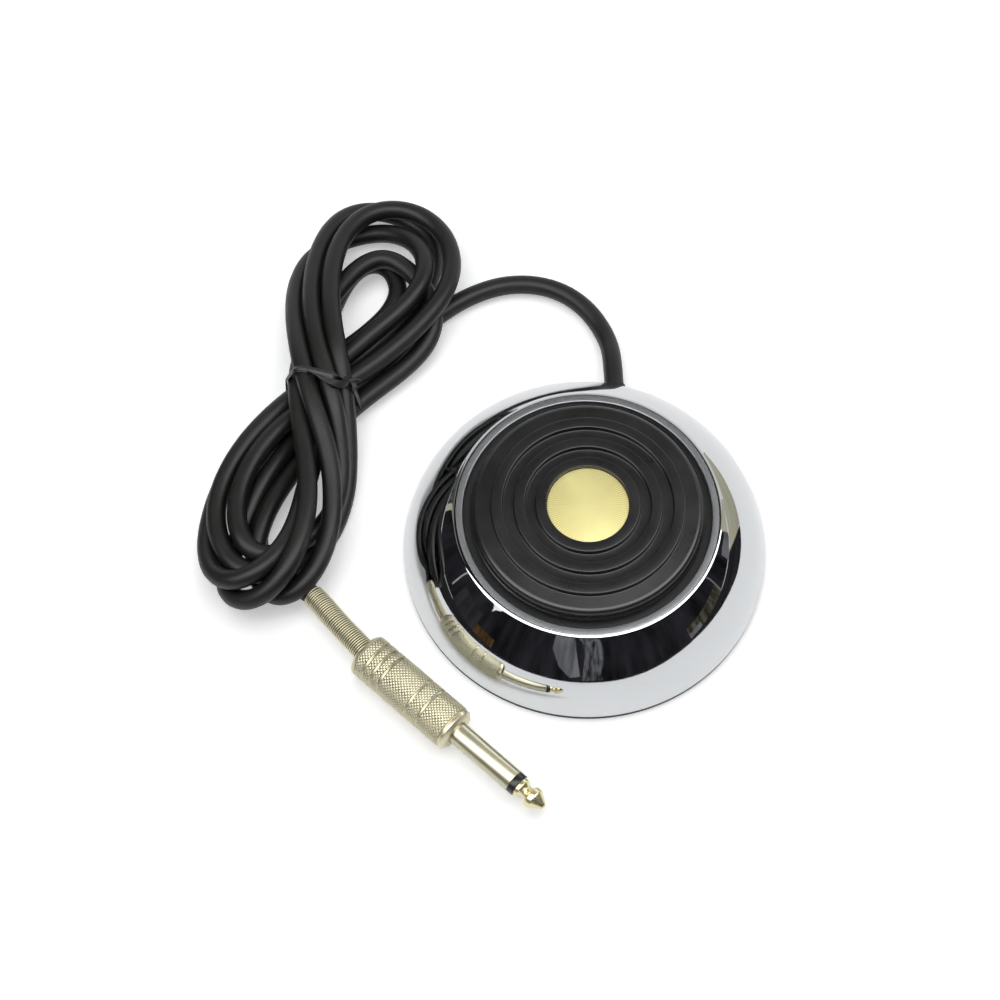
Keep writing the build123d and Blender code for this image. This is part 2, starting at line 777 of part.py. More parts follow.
# Plug pieces, as sections along the plug's axis
plug_section = Plane(origin=barrel_start, x_dir=plug_axis, z_dir=plug_axis.cross(Vector(0, 0, 1)))
plug_line = Axis(barrel_start, plug_axis)
barrel_bore = barrel_radius - barrel_wall
flange_start = barrel_length
shaft_start = flange_start + flange_length
shaft_end = shaft_start + shaft_length
tip_start = shaft_end + insulator_length
tip_end = tip_start + tip_length
liner_radius = tip_rod_radius + liner_gap + liner_wall
rod_start = flange_start - thread_length - rod_overhang
with BuildPart() as plug_barrel:
    with BuildSketch(plug_section) as barrel_section:
        with BuildLine():
            Polyline(
                (0, plug_spring_radius + liner_gap),
                (barrel_back_length, plug_spring_radius + liner_gap),
                (barrel_back_length, barrel_bore),
                (barrel_length, barrel_bore),
                (barrel_length, barrel_radius),
                (0, barrel_radius),
                close=True,
            )
        make_face()
        fillet(barrel_section.vertices().group_by(Axis.X)[0].sort_by(Axis.Y)[-1], barrel_nose_radius)
        for place in band_places:
            with Locations((place, barrel_radius)):
                Rectangle(band_width, 2 * band_depth, mode=Mode.SUBTRACT)
    revolve(axis=plug_line)
plug_barrel.part.label = "plug_barrel"
export_step(plug_barrel.part, "parts/plug_barrel.step")

with BuildPart() as plug_sleeve:
    with BuildSketch(plug_section):
        with BuildLine():
            Polyline(
                (flange_start - thread_length, liner_radius + liner_gap),
                (flange_start - thread_length, barrel_bore - liner_gap),
                (flange_start, barrel_bore - liner_gap),
                (flange_start, flange_radius),
                (shaft_start - flange_chamfer, flange_radius),
                (shaft_start, flange_radius - flange_chamfer),
                (shaft_start, shaft_radius),
                (shaft_end, shaft_radius),
                (shaft_end, liner_radius + liner_gap),
                close=True,
            )
        make_face()
    revolve(axis=plug_line)
plug_sleeve.part.label = "plug_sleeve"
export_step(plug_sleeve.part, "parts/plug_sleeve.step")

with BuildPart() as plug_insulator:
    with BuildSketch(plug_section):
        with Locations((shaft_end, tip_rod_radius + liner_gap)):
            Rectangle(
                insulator_length,
                insulator_radius - tip_rod_radius - liner_gap,
                align=(Align.MIN, Align.MIN),
            )
    revolve(axis=plug_line)
plug_insulator.part.label = "plug_insulator"
export_step(plug_insulator.part, "parts/plug_insulator.step")

with BuildPart() as plug_liner:
    with BuildSketch(plug_section):
        with Locations((shaft_end, tip_rod_radius + liner_gap)):
            Rectangle(
                shaft_end - flange_start + thread_length + rod_overhang / 3,
                liner_wall,
                align=(Align.MAX, Align.MIN),
            )
    revolve(axis=plug_line)
plug_liner.part.label = "plug_liner"
export_step(plug_liner.part, "parts/plug_liner.step")

with BuildPart() as plug_tip:
    with BuildSketch(plug_section):
        with BuildLine():
            Polyline(
                (rod_start, 0),
                (rod_start, tip_rod_radius),
                (tip_start, tip_rod_radius),
                (tip_start, tip_collar_radius),
                (tip_start + tip_collar_length, tip_collar_radius),
                (tip_start + tip_neck_start, tip_neck_radius),
                (tip_start + tip_neck_end, tip_neck_radius),
                (tip_start + tip_ball_start, tip_ball_radius),
                (tip_start + tip_ball_end, tip_ball_radius),
                (tip_end - tip_end_radius / 2, tip_end_radius),
                (tip_end, 0),
                close=True,
            )
        make_face()
    revolve(axis=plug_line)
plug_tip.part.label = "plug_tip"
export_step(plug_tip.part, "parts/plug_tip.step")

# Solder lug on the rod's end and the two conductors inside the barrel
with BuildPart() as plug_lug:
    with BuildSketch(plug_section):
        with Locations((rod_start + lug_thickness, tip_rod_radius + liner_gap)):
            Rectangle(
                lug_thickness,
                lug_radius - tip_rod_radius - liner_gap,
                align=(Align.MIN, Align.MIN),
            )
    revolve(axis=plug_line)
plug_lug.part.label = "plug_lug"
export_step(plug_lug.part, "parts/plug_lug.step")


def in_plug(along, up):
    """Point in the plug's upright middle plane, along its axis from the barrel's back."""
    return tuple(barrel_start + plug_axis * along + Vector(0, 0, up))


lug_face = rod_start + lug_thickness
plug_lead_tip_route = [
    in_plug(tail_depth, core_spread),
    in_plug(tail_depth + 5.0, core_spread),
    in_plug(lug_face - 5.6, lug_lead_height),
    in_plug(lug_face, lug_lead_height),
]
with BuildPart() as plug_lead_tip:
    with BuildLine() as plug_lead_tip_line:
        FilletPolyline(*plug_lead_tip_route, radius=bend_radii("plug_lead_tip", plug_lead_tip_route))
    with BuildSketch(Plane(origin=plug_lead_tip_line.line @ 0, z_dir=plug_lead_tip_line.line % 0)):
        Circle(core_diameter / 2)
    sweep()
plug_lead_tip.part.label = "plug_lead_tip"
export_step(plug_lead_tip.part, "parts/plug_lead_tip.step")

plug_lead_sleeve_route = [
    in_plug(tail_depth, -core_spread),
    in_plug(tail_depth + 4.9, -core_spread),
    in_plug(flange_start - thread_length - 8.8, -sleeve_lead_height + 0.9),
    in_plug(flange_start - thread_length - 3.8, -sleeve_lead_height),
    in_plug(flange_start - thread_length, -sleeve_lead_height),
]
with BuildPart() as plug_lead_sleeve:
    with BuildLine() as plug_lead_sleeve_line:
        FilletPolyline(*plug_lead_sleeve_route, radius=bend_radii("plug_lead_sleeve", plug_lead_sleeve_route))
    with BuildSketch(Plane(origin=plug_lead_sleeve_line.line @ 0, z_dir=plug_lead_sleeve_line.line % 0)):
        Circle(core_diameter / 2)
    sweep()
plug_lead_sleeve.part.label = "plug_lead_sleeve"
export_step(plug_lead_sleeve.part, "parts/plug_lead_sleeve.step")
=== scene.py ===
from math import cos, pi, radians, sin, tan

import bmesh
import bpy
from mathutils import Matrix, Vector


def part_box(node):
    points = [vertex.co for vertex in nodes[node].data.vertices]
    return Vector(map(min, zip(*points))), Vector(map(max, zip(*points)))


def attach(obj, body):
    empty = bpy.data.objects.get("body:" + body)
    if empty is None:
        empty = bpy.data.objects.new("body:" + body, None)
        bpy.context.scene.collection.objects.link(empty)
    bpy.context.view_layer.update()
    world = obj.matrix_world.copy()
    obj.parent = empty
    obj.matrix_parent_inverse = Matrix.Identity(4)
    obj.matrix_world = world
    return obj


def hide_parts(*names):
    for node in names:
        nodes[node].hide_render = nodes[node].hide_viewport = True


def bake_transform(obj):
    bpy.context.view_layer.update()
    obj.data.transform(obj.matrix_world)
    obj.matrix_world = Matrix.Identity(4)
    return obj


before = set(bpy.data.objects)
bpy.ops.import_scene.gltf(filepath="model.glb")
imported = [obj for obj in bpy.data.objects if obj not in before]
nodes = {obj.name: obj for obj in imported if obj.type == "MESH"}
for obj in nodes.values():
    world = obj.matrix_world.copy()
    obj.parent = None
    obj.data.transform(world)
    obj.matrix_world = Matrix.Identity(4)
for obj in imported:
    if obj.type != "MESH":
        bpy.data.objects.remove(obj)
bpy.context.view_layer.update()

MM = 0.001

# Shared measures

CORD_RADIUS = 2.75 * MM
WALL = 2.0  # of the housing, in millimetres
BADGE_RAYS = 100
KNURL_ROWS = 36
KNURL_PITCH = 1.09 * MM
BARREL_GROOVES = (4.2, 7.0, 9.7, 19.7, 23.8)  # middles along the plug, in millimetres
TIE_STEPS = 56
TIE_REACH = 2.9  # from a strand's centre line to the strip, in millimetres

# Shader groups


def node(tree, kind, **settings):
    """Adds a shader node; settings named in_<socket> set that input's value."""
    made = tree.nodes.new(kind)
    for name, value in settings.items():
        if name.startswith("in_"):
            key = name[3:]
            made.inputs[int(key) if key.isdigit() else key].default_value = value
        else:
            setattr(made, name, value)
    return made


def math_node(tree, operation, first, second=None):
    """Adds a math node on numbers or sockets and returns its result."""
    made = node(tree, "ShaderNodeMath", operation=operation)
    for index, value in enumerate((first, second)):
        if value is None:
            continue
        if isinstance(value, (int, float)):
            made.inputs[index].default_value = value
        else:
            tree.links.new(value, made.inputs[index])
    return made.outputs[0]


def spread(tree, value, low, high, to_low, to_high):
    """Maps a value from one range to another, held at both ends."""
    made = node(tree, "ShaderNodeMapRange", in_1=low, in_2=high, in_3=to_low, in_4=to_high)
    tree.links.new(value, made.inputs[0])
    return made.outputs[0]


def new_group(name, inputs, outputs):
    """An empty node group with its sockets, and its input and output nodes."""
    group = bpy.data.node_groups.new(name, "ShaderNodeTree")
    for title, kind, value in inputs:
        socket = group.interface.new_socket(title, in_out="INPUT", socket_type=kind)
        if value is not None:
            socket.default_value = value
    for title, kind in outputs:
        group.interface.new_socket(title, in_out="OUTPUT", socket_type=kind)
    return group, group.nodes.new("NodeGroupInput"), group.nodes.new("NodeGroupOutput")


def make_surface_wear():
    """Colour, roughness and normal of a worn surface: grain, soft mottling, dust specks and scratches."""
    group, given, out = new_group(
        "surface_wear",
        [
            ("Vector", "NodeSocketVector", None),
            ("Color", "NodeSocketColor", (0.5, 0.5, 0.5, 1)),
            ("Dust Color", "NodeSocketColor", (0.5, 0.5, 0.5, 1)),
            ("Grain Scale", "NodeSocketFloat", 2000.0),
            ("Mottle Scale", "NodeSocketFloat", 60.0),
            ("Mottle", "NodeSocketFloat", 0.2),
            ("Dust", "NodeSocketFloat", 0.1),
            ("Roughness", "NodeSocketFloat", 0.5),
            ("Roughness Spread", "NodeSocketFloat", 0.1),
            ("Scratch", "NodeSocketFloat", 0.0),
            ("Bump", "NodeSocketFloat", 0.1),
        ],
        [("Color", "NodeSocketColor"), ("Roughness", "NodeSocketFloat"), ("Normal", "NodeSocketVector")],
    )
    link = group.links.new
    grain = node(group, "ShaderNodeTexNoise", in_Detail=3.0, in_Roughness=0.6)
    link(given.outputs["Vector"], grain.inputs["Vector"])
    link(given.outputs["Grain Scale"], grain.inputs["Scale"])
    mottle = node(group, "ShaderNodeTexNoise", in_Detail=5.0, in_Roughness=0.65)
    link(given.outputs["Vector"], mottle.inputs["Vector"])
    link(given.outputs["Mottle Scale"], mottle.inputs["Scale"])
    cells = node(group, "ShaderNodeTexVoronoi", feature="F1")
    link(given.outputs["Vector"], cells.inputs["Vector"])
    link(math_node(group, "MULTIPLY", given.outputs["Mottle Scale"], 14.0), cells.inputs["Scale"])
    speck = spread(group, cells.outputs["Distance"], 0.06, 0.14, 1.0, 0.0)
    thin = spread(group, mottle.outputs[0], 0.52, 0.68, 0.0, 1.0)
    dust = math_node(group, "MULTIPLY", math_node(group, "MULTIPLY", speck, thin), given.outputs["Dust"])
    stretch = node(group, "ShaderNodeMapping", in_Rotation=(0.0, 0.0, 0.7), in_Scale=(1.0, 26.0, 1.0))
    link(given.outputs["Vector"], stretch.inputs[0])
    lines = node(group, "ShaderNodeTexNoise", in_Detail=4.0)
    link(stretch.outputs[0], lines.inputs["Vector"])
    link(math_node(group, "MULTIPLY", given.outputs["Mottle Scale"], 2.0), lines.inputs["Scale"])
    scratch = math_node(
        group, "MULTIPLY", spread(group, lines.outputs[0], 0.62, 0.68, 0.0, 1.0), given.outputs["Scratch"]
    )
    shade = node(group, "ShaderNodeHueSaturation")
    link(given.outputs["Color"], shade.inputs["Color"])
    centred = math_node(group, "SUBTRACT", mottle.outputs[0], 0.5)
    swing = math_node(group, "MULTIPLY", centred, given.outputs["Mottle"])
    link(math_node(group, "ADD", math_node(group, "MULTIPLY", swing, 2.0), 1.0), shade.inputs["Value"])
    dusty = node(group, "ShaderNodeMix", data_type="RGBA")
    marks = math_node(group, "ADD", dust, math_node(group, "MULTIPLY", scratch, 0.3))
    link(math_node(group, "MINIMUM", marks, 1.0), dusty.inputs[0])
    link(shade.outputs[0], dusty.inputs[6])
    link(given.outputs["Dust Color"], dusty.inputs[7])
    link(dusty.outputs[2], out.inputs["Color"])
    rough = math_node(group, "MULTIPLY", centred, given.outputs["Roughness Spread"])
    rough = math_node(group, "ADD", math_node(group, "MULTIPLY", rough, 2.0), given.outputs["Roughness"])
    rough = math_node(group, "ADD", rough, math_node(group, "MULTIPLY", math_node(group, "ADD", dust, scratch), 0.3))
    link(math_node(group, "MINIMUM", math_node(group, "MAXIMUM", rough, 0.02), 1.0), out.inputs["Roughness"])
    height = math_node(group, "ADD", grain.outputs[0], math_node(group, "MULTIPLY", scratch, -1.0))
    height = math_node(group, "ADD", height, math_node(group, "MULTIPLY", mottle.outputs[0], 0.6))
    bump = node(group, "ShaderNodeBump", in_Distance=0.0002)
    link(given.outputs["Bump"], bump.inputs["Strength"])
    link(height, bump.inputs["Height"])
    link(bump.outputs[0], out.inputs["Normal"])
    return group


surface_wear = make_surface_wear()


def finish_material(name, color, dust_color=(0.3, 0.3, 0.3), **values):
    """Principled material whose colour, roughness and normal come from the wear group."""
    material = bpy.data.materials.new(name)
    material.use_nodes = True
    tree = material.node_tree
    shader = tree.nodes["Principled BSDF"]
    wear = node(tree, "ShaderNodeGroup", node_tree=surface_wear)
    place = node(tree, "ShaderNodeTexCoord")
    tree.links.new(place.outputs["Object"], wear.inputs["Vector"])
    wear.inputs["Color"].default_value = (*color, 1)
    wear.inputs["Dust Color"].default_value = (*dust_color, 1)
    for key, value in values.items():
        title = key.replace("_", " ").title()
        if title in wear.inputs:
            wear.inputs[title].default_value = value
        else:
            shader.inputs[title.replace("Ior", "IOR")].default_value = value
    tree.links.new(wear.outputs["Color"], shader.inputs["Base Color"])
    tree.links.new(wear.outputs["Roughness"], shader.inputs["Roughness"])
    tree.links.new(wear.outputs["Normal"], shader.inputs["Normal"])
    return material


chrome = finish_material(
    "polished_chrome", (0.645, 0.66, 0.668), (0.45, 0.46, 0.48), grain_scale=900.0, mottle_scale=35.0, mottle=0.03,
    dust=0.05, roughness=0.035, roughness_spread=0.03, scratch=0.10, bump=0.006, metallic=1.0,
)
cord_rubber = finish_material(
    "cord_rubber", (0.0072, 0.0072, 0.0066), (0.10, 0.10, 0.095), grain_scale=1800.0, mottle_scale=70.0, mottle=0.40,
    dust=0.45, roughness=0.44, roughness_spread=0.14, scratch=0.05, bump=0.14, specular_ior_level=0.42,
)
tread_rubber = finish_material(
    "tread_rubber", (0.0085, 0.0085, 0.0088), (0.10, 0.10, 0.10), grain_scale=1500.0, mottle_scale=90.0, mottle=0.35,
    dust=0.35, roughness=0.30, roughness_spread=0.10, scratch=0.03, bump=0.05, specular_ior_level=0.72,
)
foot_rubber = finish_material(
    "foot_rubber", (0.016, 0.016, 0.017), (0.15, 0.15, 0.15), grain_scale=1400.0, mottle_scale=80.0, mottle=0.30,
    dust=0.35, roughness=0.72, roughness_spread=0.10, bump=0.3,
)
plated_bright = finish_material(
    "plated_bright", (0.58, 0.55, 0.405), (0.35, 0.33, 0.24), grain_scale=2200.0, mottle_scale=120.0, mottle=0.06,
    dust=0.05, roughness=0.32, roughness_spread=0.02, scratch=0.03, bump=0.003, metallic=0.90,
)
plated_gold = finish_material(
    "plated_gold", (0.83, 0.76, 0.46), (0.35, 0.31, 0.20), grain_scale=2200.0, mottle_scale=120.0, mottle=0.06,
    dust=0.10, roughness=0.27, roughness_spread=0.03, scratch=0.08, bump=0.003, metallic=0.9,
)
spring_plate = finish_material(
    "spring_plate", (0.74, 0.69, 0.50), (0.30, 0.28, 0.20), grain_scale=2200.0, mottle_scale=150.0, mottle=0.12,
    dust=0.15, roughness=0.36, roughness_spread=0.08, scratch=0.20, bump=0.02, metallic=1.0,
)
black_plastic = finish_material(
    "black_plastic", (0.014, 0.014, 0.015), (0.2, 0.2, 0.2), grain_scale=1600.0, mottle_scale=120.0, mottle=0.2,
    dust=0.15, roughness=0.28, roughness_spread=0.06, bump=0.05,
)
tie_plastic = finish_material(
    "tie_plastic", (0.016, 0.016, 0.017), (0.18, 0.18, 0.18), grain_scale=1600.0, mottle_scale=160.0, mottle=0.3,
    dust=0.3, roughness=0.38, roughness_spread=0.08, bump=0.10,
)
zinc_steel = finish_material(
    "zinc_steel", (0.56, 0.57, 0.58), (0.30, 0.29, 0.27), grain_scale=900.0, mottle_scale=60.0, mottle=0.25,
    dust=0.25, roughness=0.34, roughness_spread=0.12, scratch=0.5, bump=0.08, metallic=1.0,
)
# Nearly black: painted shade for the dark gap between the tread and the land, where the pad plate shows.
gap_shade_steel = finish_material(
    "gap_shade_steel", (0.012, 0.012, 0.013), (0.06, 0.06, 0.06), grain_scale=1200.0, mottle_scale=80.0, mottle=0.3,
    dust=0.2, roughness=0.62, roughness_spread=0.12, scratch=0.2, bump=0.10,
)
screw_steel = finish_material(
    "screw_steel", (0.52, 0.52, 0.53), (0.25, 0.24, 0.22), grain_scale=1800.0, mottle_scale=200.0, mottle=0.2,
    dust=0.2, roughness=0.30, roughness_spread=0.10, scratch=0.4, bump=0.06, metallic=1.0,
)
brass = finish_material(
    "contact_brass", (0.72, 0.52, 0.22), (0.25, 0.16, 0.07), grain_scale=1500.0, mottle_scale=90.0, mottle=0.2,
    dust=0.2, roughness=0.28, roughness_spread=0.10, scratch=0.4, bump=0.05, metallic=1.0,
)
board_laminate = finish_material(
    "board_laminate", (0.20, 0.085, 0.035), (0.30, 0.2, 0.12), grain_scale=900.0, mottle_scale=110.0, mottle=0.35,
    dust=0.2, roughness=0.45, roughness_spread=0.10, scratch=0.2, bump=0.10,
)
pale_nylon = finish_material(
    "pale_nylon", (0.66, 0.64, 0.57), (0.4, 0.38, 0.33), grain_scale=1200.0, mottle_scale=90.0, mottle=0.12,
    dust=0.2, roughness=0.48, roughness_spread=0.08, bump=0.10,
)
dark_nylon = finish_material(
    "dark_nylon", (0.05, 0.05, 0.055), (0.2, 0.2, 0.2), grain_scale=1200.0, mottle_scale=90.0, mottle=0.2,
    dust=0.2, roughness=0.5, roughness_spread=0.08, bump=0.12,
)
black_core = finish_material(
    "black_core", (0.018, 0.018, 0.018), (0.15, 0.15, 0.15), grain_scale=1500.0, mottle_scale=150.0, mottle=0.3,
    dust=0.2, roughness=0.40, roughness_spread=0.08, bump=0.08,
)
red_core = finish_material(
    "red_core", (0.36, 0.02, 0.015), (0.3, 0.15, 0.13), grain_scale=1500.0, mottle_scale=150.0, mottle=0.2,
    dust=0.2, roughness=0.40, roughness_spread=0.08, bump=0.08,
)


def own_place(tree):
    """The surface point's place in metres: whole, in its three parts, and its radius about the upright axis."""
    place = node(tree, "ShaderNodeTexCoord")
    parts = node(tree, "ShaderNodeSeparateXYZ")
    tree.links.new(place.outputs["Object"], parts.inputs[0])
    flat = node(tree, "ShaderNodeCombineXYZ")
    tree.links.new(parts.outputs[0], flat.inputs[0])
    tree.links.new(parts.outputs[1], flat.inputs[1])
    length = node(tree, "ShaderNodeVectorMath", operation="LENGTH")
    tree.links.new(flat.outputs[0], length.inputs[0])
    return place.outputs["Object"], parts.outputs, length.outputs["Value"]


def overlay(tree, amount, color):
    """Lays one more colour over what the shader's base colour is fed with."""
    shader = tree.nodes["Principled BSDF"]
    mix = node(tree, "ShaderNodeMix", data_type="RGBA")
    mix.inputs[7].default_value = (*color, 1)
    tree.links.new(amount, mix.inputs[0])
    tree.links.new(shader.inputs["Base Color"].links[0].from_socket, mix.inputs[6])
    tree.links.new(mix.outputs[2], shader.inputs["Base Color"])


def emboss(tree, height, strength, distance):
    """Adds one more bump to what the shader's normal is fed with."""
    shader = tree.nodes["Principled BSDF"]
    bump = node(tree, "ShaderNodeBump", in_Distance=distance, in_Strength=strength)
    tree.links.new(height, bump.inputs["Height"])
    tree.links.new(shader.inputs["Normal"].links[0].from_socket, bump.inputs["Normal"])
    tree.links.new(bump.outputs[0], shader.inputs["Normal"])


def dress_land(material):
    """The flat land round the mouth is less polished: rougher, darker and pitted."""
    inner, outer, soft = 0.0330, 0.0352, 0.00015
    tree = material.node_tree
    shader = tree.nodes["Principled BSDF"]
    place, (_, _, up), radius = own_place(tree)
    mask = math_node(tree, "MULTIPLY", spread(tree, radius, inner - soft, inner + soft, 0.0, 1.0),
                     spread(tree, radius, outer - soft, outer + soft, 1.0, 0.0))
    mask = math_node(tree, "MULTIPLY", mask, spread(tree, up, 0.0238, 0.0242, 0.0, 1.0))
    pits = node(tree, "ShaderNodeTexNoise", in_Scale=5200.0, in_Detail=3.0, in_Roughness=0.6)
    tree.links.new(place, pits.inputs["Vector"])
    speck = spread(tree, pits.outputs[0], 0.38, 0.66, 0.0, 1.0)
    rough = node(tree, "ShaderNodeMix", data_type="FLOAT")
    tree.links.new(mask, rough.inputs[0])
    tree.links.new(shader.inputs["Roughness"].links[0].from_socket, rough.inputs[2])
    tree.links.new(spread(tree, speck, 0.0, 1.0, 0.28, 0.44), rough.inputs[3])
    tree.links.new(rough.outputs[0], shader.inputs["Roughness"])
    overlay(tree, math_node(tree, "MULTIPLY", mask, spread(tree, speck, 0.0, 1.0, 1.0, 0.55)), (0.33, 0.34, 0.355))
    emboss(tree, math_node(tree, "MULTIPLY", mask, pits.outputs[0]), 0.4, 0.00005)


dress_land(chrome)


def make_foil():
    """Gold foil with fine pressed rays that run out from the middle, and a few worn specks; the rays are darkened in
    the colour as painted shade, most at the left and right sides.
    """
    material = finish_material(
        "gold_foil", (0.96, 0.87, 0.385), (0.50, 0.40, 0.14), grain_scale=1500.0, mottle_scale=140.0, mottle=0.08,
        dust=0.12, roughness=0.38, roughness_spread=0.06, scratch=0.08, bump=0.05, metallic=0.45,
    )
    tree = material.node_tree
    _, (right, back, _), radius = own_place(tree)
    angle = math_node(tree, "ARCTAN2", back, right)
    saw = math_node(tree, "PINGPONG", math_node(tree, "MULTIPLY", angle, BADGE_RAYS / (2 * pi)), 0.5)
    height = math_node(tree, "MULTIPLY", saw, spread(tree, radius, 0.001, 0.008, 0.0, 1.0))
    # Painted shade: the rays are darkened in the base colour, more at the left and right and less at the top and
    # bottom, as light would fall on brushed rays.
    sideways = math_node(tree, "ABSOLUTE", math_node(tree, "COSINE", math_node(tree, "SUBTRACT", angle, 0.3)))
    painted_ray_shade = math_node(tree, "MULTIPLY", height, spread(tree, sideways, 0.25, 0.95, 0.05, 1.0))
    overlay(tree, math_node(tree, "MULTIPLY", painted_ray_shade, 1.1), (0.40, 0.30, 0.08))
    emboss(tree, height, 0.6, 0.00008)
    return material


gold_foil = make_foil()


def make_knurl(axis_start, axis_angle):
    """Plated metal with a diamond knurl, worked out from the distance along the plug and round it; the knurl's hollows
    and the grooves are darkened in the colour as painted shade.
    """
    material = finish_material(
        "knurled_plate", (0.70, 0.655, 0.465), (0.32, 0.28, 0.18), grain_scale=2200.0, mottle_scale=110.0, mottle=0.12,
        dust=0.2, roughness=0.40, roughness_spread=0.06, scratch=0.10, bump=0.02, metallic=1.0,
    )
    tree = material.node_tree
    place = node(tree, "ShaderNodeTexCoord")
    turn = node(
        tree, "ShaderNodeMapping", vector_type="TEXTURE", in_Location=axis_start, in_Rotation=(0, 0, axis_angle)
    )
    tree.links.new(place.outputs["Object"], turn.inputs[0])
    parts = node(tree, "ShaderNodeSeparateXYZ")
    tree.links.new(turn.outputs[0], parts.inputs[0])
    ahead, side, up = parts.outputs

    def bands(places):
        """1 between each pair of distances along the plug."""
        total = None
        for low, high in places:
            inside = math_node(tree, "MULTIPLY", spread(tree, ahead, low - 0.0001, low, 0.0, 1.0),
                               spread(tree, ahead, high, high + 0.0001, 1.0, 0.0))
            total = inside if total is None else math_node(tree, "MAXIMUM", total, inside)
        return total

    round_way = math_node(tree, "MULTIPLY", math_node(tree, "ARCTAN2", up, side), KNURL_ROWS / (2 * pi))
    long_way = math_node(tree, "MULTIPLY", ahead, 1 / KNURL_PITCH)
    one = math_node(tree, "PINGPONG", math_node(tree, "ADD", long_way, round_way), 0.5)
    other = math_node(tree, "PINGPONG", math_node(tree, "SUBTRACT", long_way, round_way), 0.5)
    crest = math_node(tree, "MINIMUM", math_node(tree, "MINIMUM", one, other), 0.40)
    ends = bands([(0.0, 0.0013), (0.0313, 0.0345)])
    grooves = bands([((x - 0.4) * MM, (x + 0.4) * MM) for x in BARREL_GROOVES])
    keep = math_node(tree, "SUBTRACT", 1.0, math_node(tree, "MAXIMUM", ends, grooves))
    emboss(tree, math_node(tree, "MULTIPLY", crest, keep), 0.75, 0.00042)
    # Painted shade: the base colour is darkened in the knurl's hollows and in the grooves, where shade falls.
    painted_valley_shade = math_node(tree, "MULTIPLY", spread(tree, crest, 0.02, 0.20, 0.65, 0.0), keep)
    painted_valley_shade = math_node(tree, "MAXIMUM", painted_valley_shade, math_node(tree, "MULTIPLY", grooves, 0.30))
    overlay(tree, painted_valley_shade, (0.22, 0.20, 0.13))
    return material


# Making of pieces


def rounded_profile(corners, steps=5):
    """Points of a profile whose corners (across, up, rounding) are rounded off."""
    points = []
    for index, (x, y, rounding) in enumerate(corners):
        here = Vector((x, y))
        if not rounding or index in (0, len(corners) - 1):
            points.append(here)
            continue
        before = (Vector(corners[index - 1][:2]) - here).normalized()
        after = (Vector(corners[index + 1][:2]) - here).normalized()
        half = before.angle(after) / 2
        middle = here + (before + after).normalized() * rounding / sin(half)
        first = here + before * rounding / tan(half) - middle
        last = here + after * rounding / tan(half) - middle
        for step in range(steps + 1):
            points.append(middle + first.slerp(last, step / steps).normalized() * rounding)
    return points


def arc_points(centre, radius, start, end, steps):
    """Points of an arc between two angles in degrees."""
    return [
        Vector((centre[0] + radius * cos(radians(a)), centre[1] + radius * sin(radians(a))))
        for a in (start + (end - start) * step / steps for step in range(steps + 1))
    ]


def shown(name, shape, material, body, sharp=35.0):
    """Makes an object of a finished bmesh, in place and riding on a body."""
    mesh = bpy.data.meshes.new(name)
    bmesh.ops.recalc_face_normals(shape, faces=shape.faces)
    shape.to_mesh(mesh)
    shape.free()
    mesh.shade_smooth()
    mesh.set_sharp_from_angle(angle=radians(sharp))
    piece = bpy.data.objects.new(name, mesh)
    bpy.context.collection.objects.link(piece)
    mesh.materials.append(material)
    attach(piece, body)
    return piece


def turned(name, profile, material, body, steps=160, place=None, closed=False, sharp=35.0):
    """A lathe-turned piece: the profile (radius, height) in millimetres, spun about the upright axis."""
    shape = bmesh.new()
    points = [shape.verts.new((x * MM, 0.0, z * MM)) for x, z in profile]
    pairs = list(zip(points, points[1:]))
    if closed:
        pairs.append((points[-1], points[0]))
    edges = [shape.edges.new(pair) for pair in pairs]
    bmesh.ops.spin(
        shape, geom=points + edges, cent=(0, 0, 0), axis=(0, 0, 1), angle=2 * pi, steps=steps, use_merge=True
    )
    bmesh.ops.remove_doubles(shape, verts=shape.verts, dist=1e-6)
    if place is not None:
        bmesh.ops.transform(shape, matrix=place, verts=shape.verts)
    return shown(name, shape, material, body, sharp)


# Housing

# The flank is two arcs, each with its centre and radius, in millimetres
upper_wall, lower_wall = ((1.7673, -14.9594), 52.04), ((22.8365, -2.075), 27.33)
dome_profile = (
    arc_points((33.6, 24.15), 0.3, 180, 93, 5)
    + arc_points((35.25, 22.87), 1.5, 86, 48.6, 12)
    + arc_points(*upper_wall, 48.6, 31.5, 30)[1:]
    + arc_points(*lower_wall, 31.5, 9.0, 24)[1:]
    + arc_points((49.335, 2.1), 0.5, 9.0, -90, 8)[1:]
    + arc_points(lower_wall[0], lower_wall[1] - WALL, 8.34, 31.5, 12)
    + arc_points(upper_wall[0], upper_wall[1] - WALL, 31.5, 47.68, 12)[1:]
    + [Vector((33.3, 22.05))]
)
housing = turned("housing_dome", dome_profile, chrome, "base", steps=256, closed=True)
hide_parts("shell")

grommet_place = Matrix.Translation((9.2 * MM, 0, 7.4 * MM)) @ Matrix.Rotation(radians(-90), 4, "X")
grommet = turned(
    "cord_grommet",
    rounded_profile([(2.80, 44.0, 0), (2.80, 47.3, 0.1), (3.10, 47.3, 0.15), (3.10, 44.0, 0)], 4),
    cord_rubber, "base", steps=48, place=grommet_place, closed=True,
)
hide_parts("cord_bush")

ground_ring = turned(
    "ground_ring",
    rounded_profile([(42.5, 1.0, 0), (42.5, 0.0, 0.35), (49.7, 0.0, 0.3), (49.7, 1.6, 0), (42.5, 1.6, 0)], 4),
    foot_rubber, "base", steps=192, closed=True,
)
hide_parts("foot_ring")

# Tread and badge

